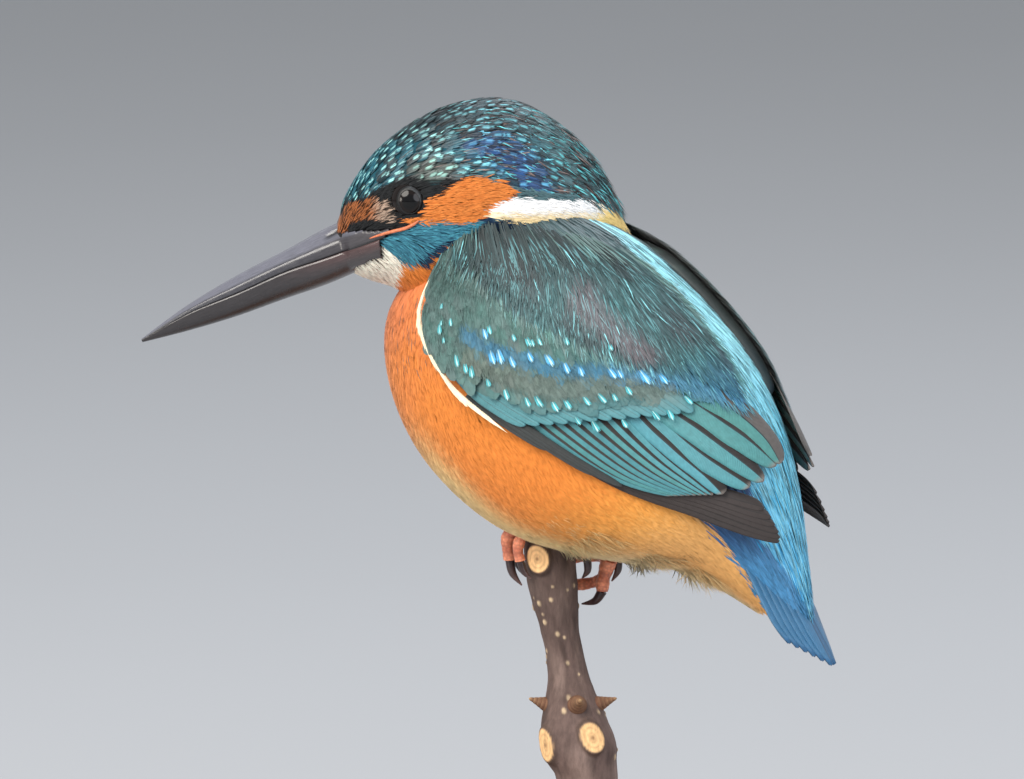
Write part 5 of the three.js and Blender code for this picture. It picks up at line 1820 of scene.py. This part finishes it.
# Bark: a young shoot's, thin and dull, with fine cracks along it and corky pores.
def barkLinks(add):
    place = add("TexCoord")
    tone = add("Attribute", {"attribute_name": "ground"})
    drawn = add("Mapping", {"Scale": (1, 1, 0.3), "Vector": place.outputs["Object"]})
    cracks = add("TexNoise", {"Scale": 1 / (0.9 * millimetre), "Detail": 6, "Roughness": 0.7,
        "Vector": drawn})
    value = add("MapRange", {0: cracks, 1: 0.3, 2: 0.7, 3: 0.72, 4: 1.3})
    shaded = add("HueSaturation", {"Value": value, "Color": tone})
    bump = add("Bump", {"Strength": 0.6, "Distance": 0.3 * millimetre, "Height": cracks})
    return {"Base Color": shaded, "Normal": bump}


bark = newMaterial("shrub bark", {"Roughness": 0.78, "Specular IOR Level": 0.25}, barkLinks)


def perchPiece():
    # radius by height, plus raised scars with a rim, corky pores and shallow wrinkles along the twig
    plan = perchPlan
    path = np.array(plan["path"])
    rows, columns = 300, 112
    z = np.linspace(path[0, 1], path[-1, 1], rows)
    share = np.interp(z, path[:, 1], np.linspace(0, 1, len(path)))
    x = smoothThrough(path[:, 0], share)
    radius = smoothThrough(path[:, 2], share)
    turn = np.linspace(-180, 180, columns, endpoint=False)
    zz, tt = np.meshgrid(z, turn, indexing="ij")
    flat = np.stack([np.cos(np.radians(tt)) * 4, np.sin(np.radians(tt)) * 4, zz * 0.35], -1)
    lift = 0.07 * cloudy(flat, 1.6, 4) + 0.12 * cloudy(flat, 5, 6)
    tone = blend(np.broadcast_to(barkTone["bark"], (rows, columns, 3)), barkTone["dark"],
        np.clip(-cloudy(flat, 2.5, 8), 0, 1) * 0.6)
    tone = blend(tone, barkTone["light"], np.clip(cloudy(flat, 4, 9), 0, 1) * 0.5)
    # painted shade: the bark is lighter below about 52 mm and darker towards the top, under the bird
    tone = tone * (1.3 - 0.3 * smoothStep(zz, 52, 68))[..., None]
    dice = np.random.default_rng(91)
    for _ in range(plan["lenticels"]):
        z0, turn0, size = dice.uniform(34, 78), dice.uniform(-180, 180), dice.uniform(0.18, 0.4)
        dx = ((tt - turn0 + 180) % 360 - 180) * np.radians(radius)[:, None]
        away = np.hypot(dx / size, (zz - z0) / (size * 1.3))
        bump = np.exp(-away ** 4)
        lift = lift + 0.16 * bump
        tone = blend(tone, barkTone["lenticel"], bump * dice.uniform(0.5, 1))
    for scar in plan["scars"]:
        dx = ((tt - scar["facing"] + 180) % 360 - 180) * np.radians(radius)[:, None]
        away = np.hypot(dx / scar["wide"], (zz - scar["z"]) / scar["tall"])
        plateau = 1 - smoothStep(away, 0.95, 1.35)
        lift = lift * (1 - plateau) + 0.75 * plateau - 0.2 * np.exp(-(away / 0.75) ** 4) * plateau
        tone = blend(tone, barkTone["rim"], np.exp(-((away - 1.08) / 0.12) ** 2))
        tone = blend(tone, barkTone["scar"], 1 - smoothStep(away, 0.85, 1.0))
        for ring in (0.3, 0.62):
            tone = blend(tone, barkTone["scarDark"], 0.35 * np.exp(-((away - ring) / 0.07) ** 2))
        tone = blend(tone, barkTone["scarDark"], np.exp(-(away / 0.16) ** 2))
    full = radius[:, None] + lift
    rings = np.stack([x[:, None] + full * np.cos(np.radians(tt)), full * np.sin(np.radians(tt)), zz], -1)
    points, faces = closedTube(rings)
    tone = np.concatenate([tone.reshape(-1, 3), [barkTone["wood"]] * 2])
    return addPiece("perch_bark", ["perch"], points, faces, bark, None, {"ground": tone})


perchPiece()

budPlan = [
    {"at": [-1.2, 51.4], "facing": -150, "size": 1.25},
    {"at": [-1.2, 51.9], "facing": -58, "size": 1.45},
    {"at": [-1.2, 51.6], "facing": 12, "size": 1.2},
]


def budPiece():
    # overlapping scales: cups of shrinking size up a short cone
    parts, tone = [], []
    for bud in budPlan:
        x0, z0 = bud["at"]
        way = np.array([math.cos(math.radians(bud["facing"])), math.sin(math.radians(bud["facing"])), 0.35])
        way = way / np.linalg.norm(way)
        start = np.array([x0, 0, z0]) + way * 4.3
        for k in range(5):
            size = bud["size"] * (1.15 - 0.2 * k)
            base = start + way * 0.45 * k * bud["size"]
            share = np.linspace(0, 1, 10)
            stations = [[*(base + way * s * 1.1 * bud["size"]), size * math.sqrt(max(0.02, 1 - s ** 2.2))]
                for s in share]
            rows, columns = limbMesh["bud"]
            rings, _ = alongPath(stations, rows, columns, (0, 0.3, 1))
            parts.append(closedTube(rings))
            colour = blend(np.broadcast_to(barkTone["bud"], (rows, 3)), barkTone["budEdge"],
                np.linspace(0, 1, rows) ** 3)
            colour = np.repeat(colour, columns, 0)
            tone.append(np.concatenate([colour, colour[:2]]))
    points, faces = joinedParts(parts)
    return addPiece("perch_buds", [], points, faces, bark, None, {"ground": np.concatenate(tone)})


budPiece()


# stand

standPlan = {"profile": [[0, 0], [47.2, 0], [48, 0.8], [48, 3.6], [47.4, 4.4], [46.6, 4.7], [46.3, 5.2],
    [46.4, 6.2], [45.8, 7.2], [44.4, 7.85], [43, 8], [0, 8]], "sides": 160, "rodSides": 48, "rodEdge": 0.4}

# Base: turned beech, stained brown and waxed; its grain shows as rings cut flat.
def woodLinks(add):
    place = add("TexCoord")
    shifted = add("Mapping", {"Location": (0.09, 0.02, 0), "Scale": (1, 0.16, 0.6),
        "Vector": place.outputs["Object"]})
    bent = add("TexNoise", {"Scale": 1 / (18 * millimetre), "Detail": 3, "Vector": shifted})
    rings = add("TexWave", {"wave_type": "BANDS", "bands_direction": "X", "Scale": 1 / (16 * millimetre),
        "Distortion": 2.5, "Detail": 3, "Detail Scale": 1.2, "Vector": shifted})
    pores = add("TexNoise", {"Scale": 1 / (1.1 * millimetre), "Detail": 4, "Vector": shifted})
    mixed = add("Math", {"operation": "MULTIPLY_ADD", 0: rings.outputs["Fac"], 1: 0.2, 2: bent})
    colour = add("Mix", {"data_type": "RGBA", 0: mixed, 6: rgba("#5f4029"), 7: rgba("#9a6c44")})
    value = add("MapRange", {0: pores, 1: 0.3, 2: 0.7, 3: 0.85, 4: 1.12})
    shaded = add("HueSaturation", {"Value": value, "Color": colour.outputs[2]})
    bump = add("Bump", {"Strength": 0.15, "Distance": 0.1 * millimetre, "Height": pores})
    return {"Base Color": shaded, "Normal": bump}


turnedBeech = newMaterial("stained turned beech",
    {"Roughness": 0.38, "Specular IOR Level": 0.4, "Coat Weight": 0.25, "Coat Roughness": 0.2}, woodLinks)

# Rod: drawn stainless steel, with a faint brushed line round it.
def steelLinks(add):
    place = add("TexCoord")
    drawn = add("Mapping", {"Scale": (1, 1, 0.04), "Vector": place.outputs["Object"]})
    lines = add("TexNoise", {"Scale": 1 / (0.3 * millimetre), "Detail": 3, "Vector": drawn})
    rough = add("MapRange", {0: lines, 1: 0.3, 2: 0.7, 3: 0.22, 4: 0.38})
    tone = add("Mix", {"data_type": "RGBA", 0: lines, 6: rgba("#a9abad"), 7: rgba("#c6c8ca")})
    return {"Base Color": tone.outputs[2], "Roughness": rough}


steel = newMaterial("drawn steel rod", {"Metallic": 1.0}, steelLinks)


def turnedPiece(name, replaced, profile, sides, middle, material):
    # a profile of radius and height carried round the upright axis
    turn = np.linspace(0, 2 * math.pi, sides, endpoint=False)
    r, z = np.array(profile)[:, 0], np.array(profile)[:, 1]
    inner = np.stack([r, z], -1)[1:-1]
    rings = np.stack([middle[0] + inner[:, :1] * np.cos(turn), middle[1] + inner[:, :1] * np.sin(turn),
        np.repeat(inner[:, 1:], sides, 1)], -1)
    points, faces = closedTube(rings)
    piece = addPiece(name, replaced, points, faces, material)
    edges = piece.modifiers.new("edges", "BEVEL")
    edges.width = 0.15 * millimetre
    edges.segments = 2
    edges.limit_method = "ANGLE"
    edges.harden_normals = True
    return piece


turnedPiece("turned_base", ["stand_base"], standPlan["profile"], standPlan["sides"], (0, 0),
    turnedBeech)
rodLow, rodHigh = (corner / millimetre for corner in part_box("stand_rod"))
rodRadius = (rodHigh.x - rodLow.x) / 2
rodMiddle = ((rodHigh.x + rodLow.x) / 2, (rodHigh.y + rodLow.y) / 2)
rodProfile = [[0, rodLow.z], [rodRadius, rodLow.z], [rodRadius, rodHigh.z - standPlan["rodEdge"]],
    [rodRadius - standPlan["rodEdge"], rodHigh.z], [0, rodHigh.z]]
turnedPiece("steel_rod", ["stand_rod"], rodProfile, standPlan["rodSides"], rodMiddle, steel)
print("perch and stand made")


# floor, light and camera

viewPlan = {"azimuth": 24, "elevation": 7, "distance": 2.5, "right": -0.011333, "up": 0.104917, "lens": 527.3}
floorSize = 14


def floorLinks(add):
    place = add("TexCoord")
    grain = add("TexNoise", {"Scale": 3.0, "Detail": 3, "Vector": place.outputs["Object"]})
    tone = add("Mix", {"data_type": "RGBA", 0: grain, 6: rgba("#a9abae"), 7: rgba("#adafb2")})
    return {"Base Color": tone.outputs[2]}


paper = newMaterial("pale grey paper", {"Roughness": 0.9, "Specular IOR Level": 0.1}, floorLinks)


def makeFloor():
    half = floorSize / 2
    mesh = bpy.data.meshes.new("floor")
    mesh.from_pydata([(-half, -half, 0), (half, -half, 0), (half, half, 0), (-half, half, 0)], [],
        [(0, 1, 2, 3)])
    mesh.materials.append(paper)
    floor = bpy.data.objects.new("floor", mesh)
    bpy.context.scene.collection.objects.link(floor)


def viewAxes():
    # the camera's right, up and backward directions
    turn, tilt = math.radians(viewPlan["azimuth"]), math.radians(viewPlan["elevation"])
    across = np.array([math.cos(turn), math.sin(turn), 0])
    upward = np.array([-math.sin(turn) * math.sin(tilt), math.cos(turn) * math.sin(tilt), math.cos(tilt)])
    backward = np.array([math.sin(turn) * math.cos(tilt), -math.cos(turn) * math.cos(tilt), math.sin(tilt)])
    return across, upward, backward


def makeCamera():
    across, upward, backward = viewAxes()
    target = across * viewPlan["right"] + upward * viewPlan["up"]
    data = bpy.data.cameras.new("camera")
    data.lens = viewPlan["lens"]
    data.sensor_width = 36
    data.clip_end = 100
    camera = bpy.data.objects.new("camera", data)
    turned = Matrix([across, upward, backward]).transposed().to_4x4()
    camera.matrix_world = Matrix.Translation(Vector(target + backward * viewPlan["distance"])) @ turned
    bpy.context.scene.collection.objects.link(camera)
    bpy.context.scene.camera = camera
    return target


lightPlan = [
    {"name": "key", "toward": [-0.5, 0.7, 0.8], "distance": 1.3, "size": 0.9, "power": 17.5,
        "tone": "#fffaf2"},
    {"name": "fill", "toward": [0.8, 0.3, 0.85], "distance": 1.4, "size": 1.1, "power": 8, "tone": "#f4f7ff"},
    {"name": "low", "toward": [-0.8, 0.05, 0.6], "distance": 1.2, "size": 0.4, "power": 3.2,
        "tone": "#fff8ee"},
    {"name": "top", "toward": [0.2, 1.0, -0.3], "distance": 1.2, "size": 0.8, "power": 8, "tone": "#f4f8ff"},
]


def makeLights(target):
    across, upward, backward = viewAxes()
    for plan in lightPlan:
        way = unit(sum(w * axis for w, axis in zip(plan["toward"], (across, upward, backward))))
        data = bpy.data.lights.new(plan["name"], "AREA")
        data.shape = "DISK"
        data.size = plan["size"]
        data.energy = plan["power"]
        data.color = linearTone(plan["tone"])
        light = bpy.data.objects.new(plan["name"], data)
        light.location = target + way * plan["distance"]
        light.rotation_euler = Vector(way).to_track_quat("Z", "Y").to_euler()
        bpy.context.scene.collection.objects.link(light)
    world = bpy.data.worlds.new("room")
    world.use_nodes = True
    world.node_tree.nodes["Background"].inputs[0].default_value = rgba("#ebeef2")
    world.node_tree.nodes["Background"].inputs[1].default_value = 0.6
    bpy.context.scene.world = world


makeFloor()
makeLights(makeCamera())
bpy.context.scene.view_settings.view_transform = "Standard"
print("floor, light and camera made")
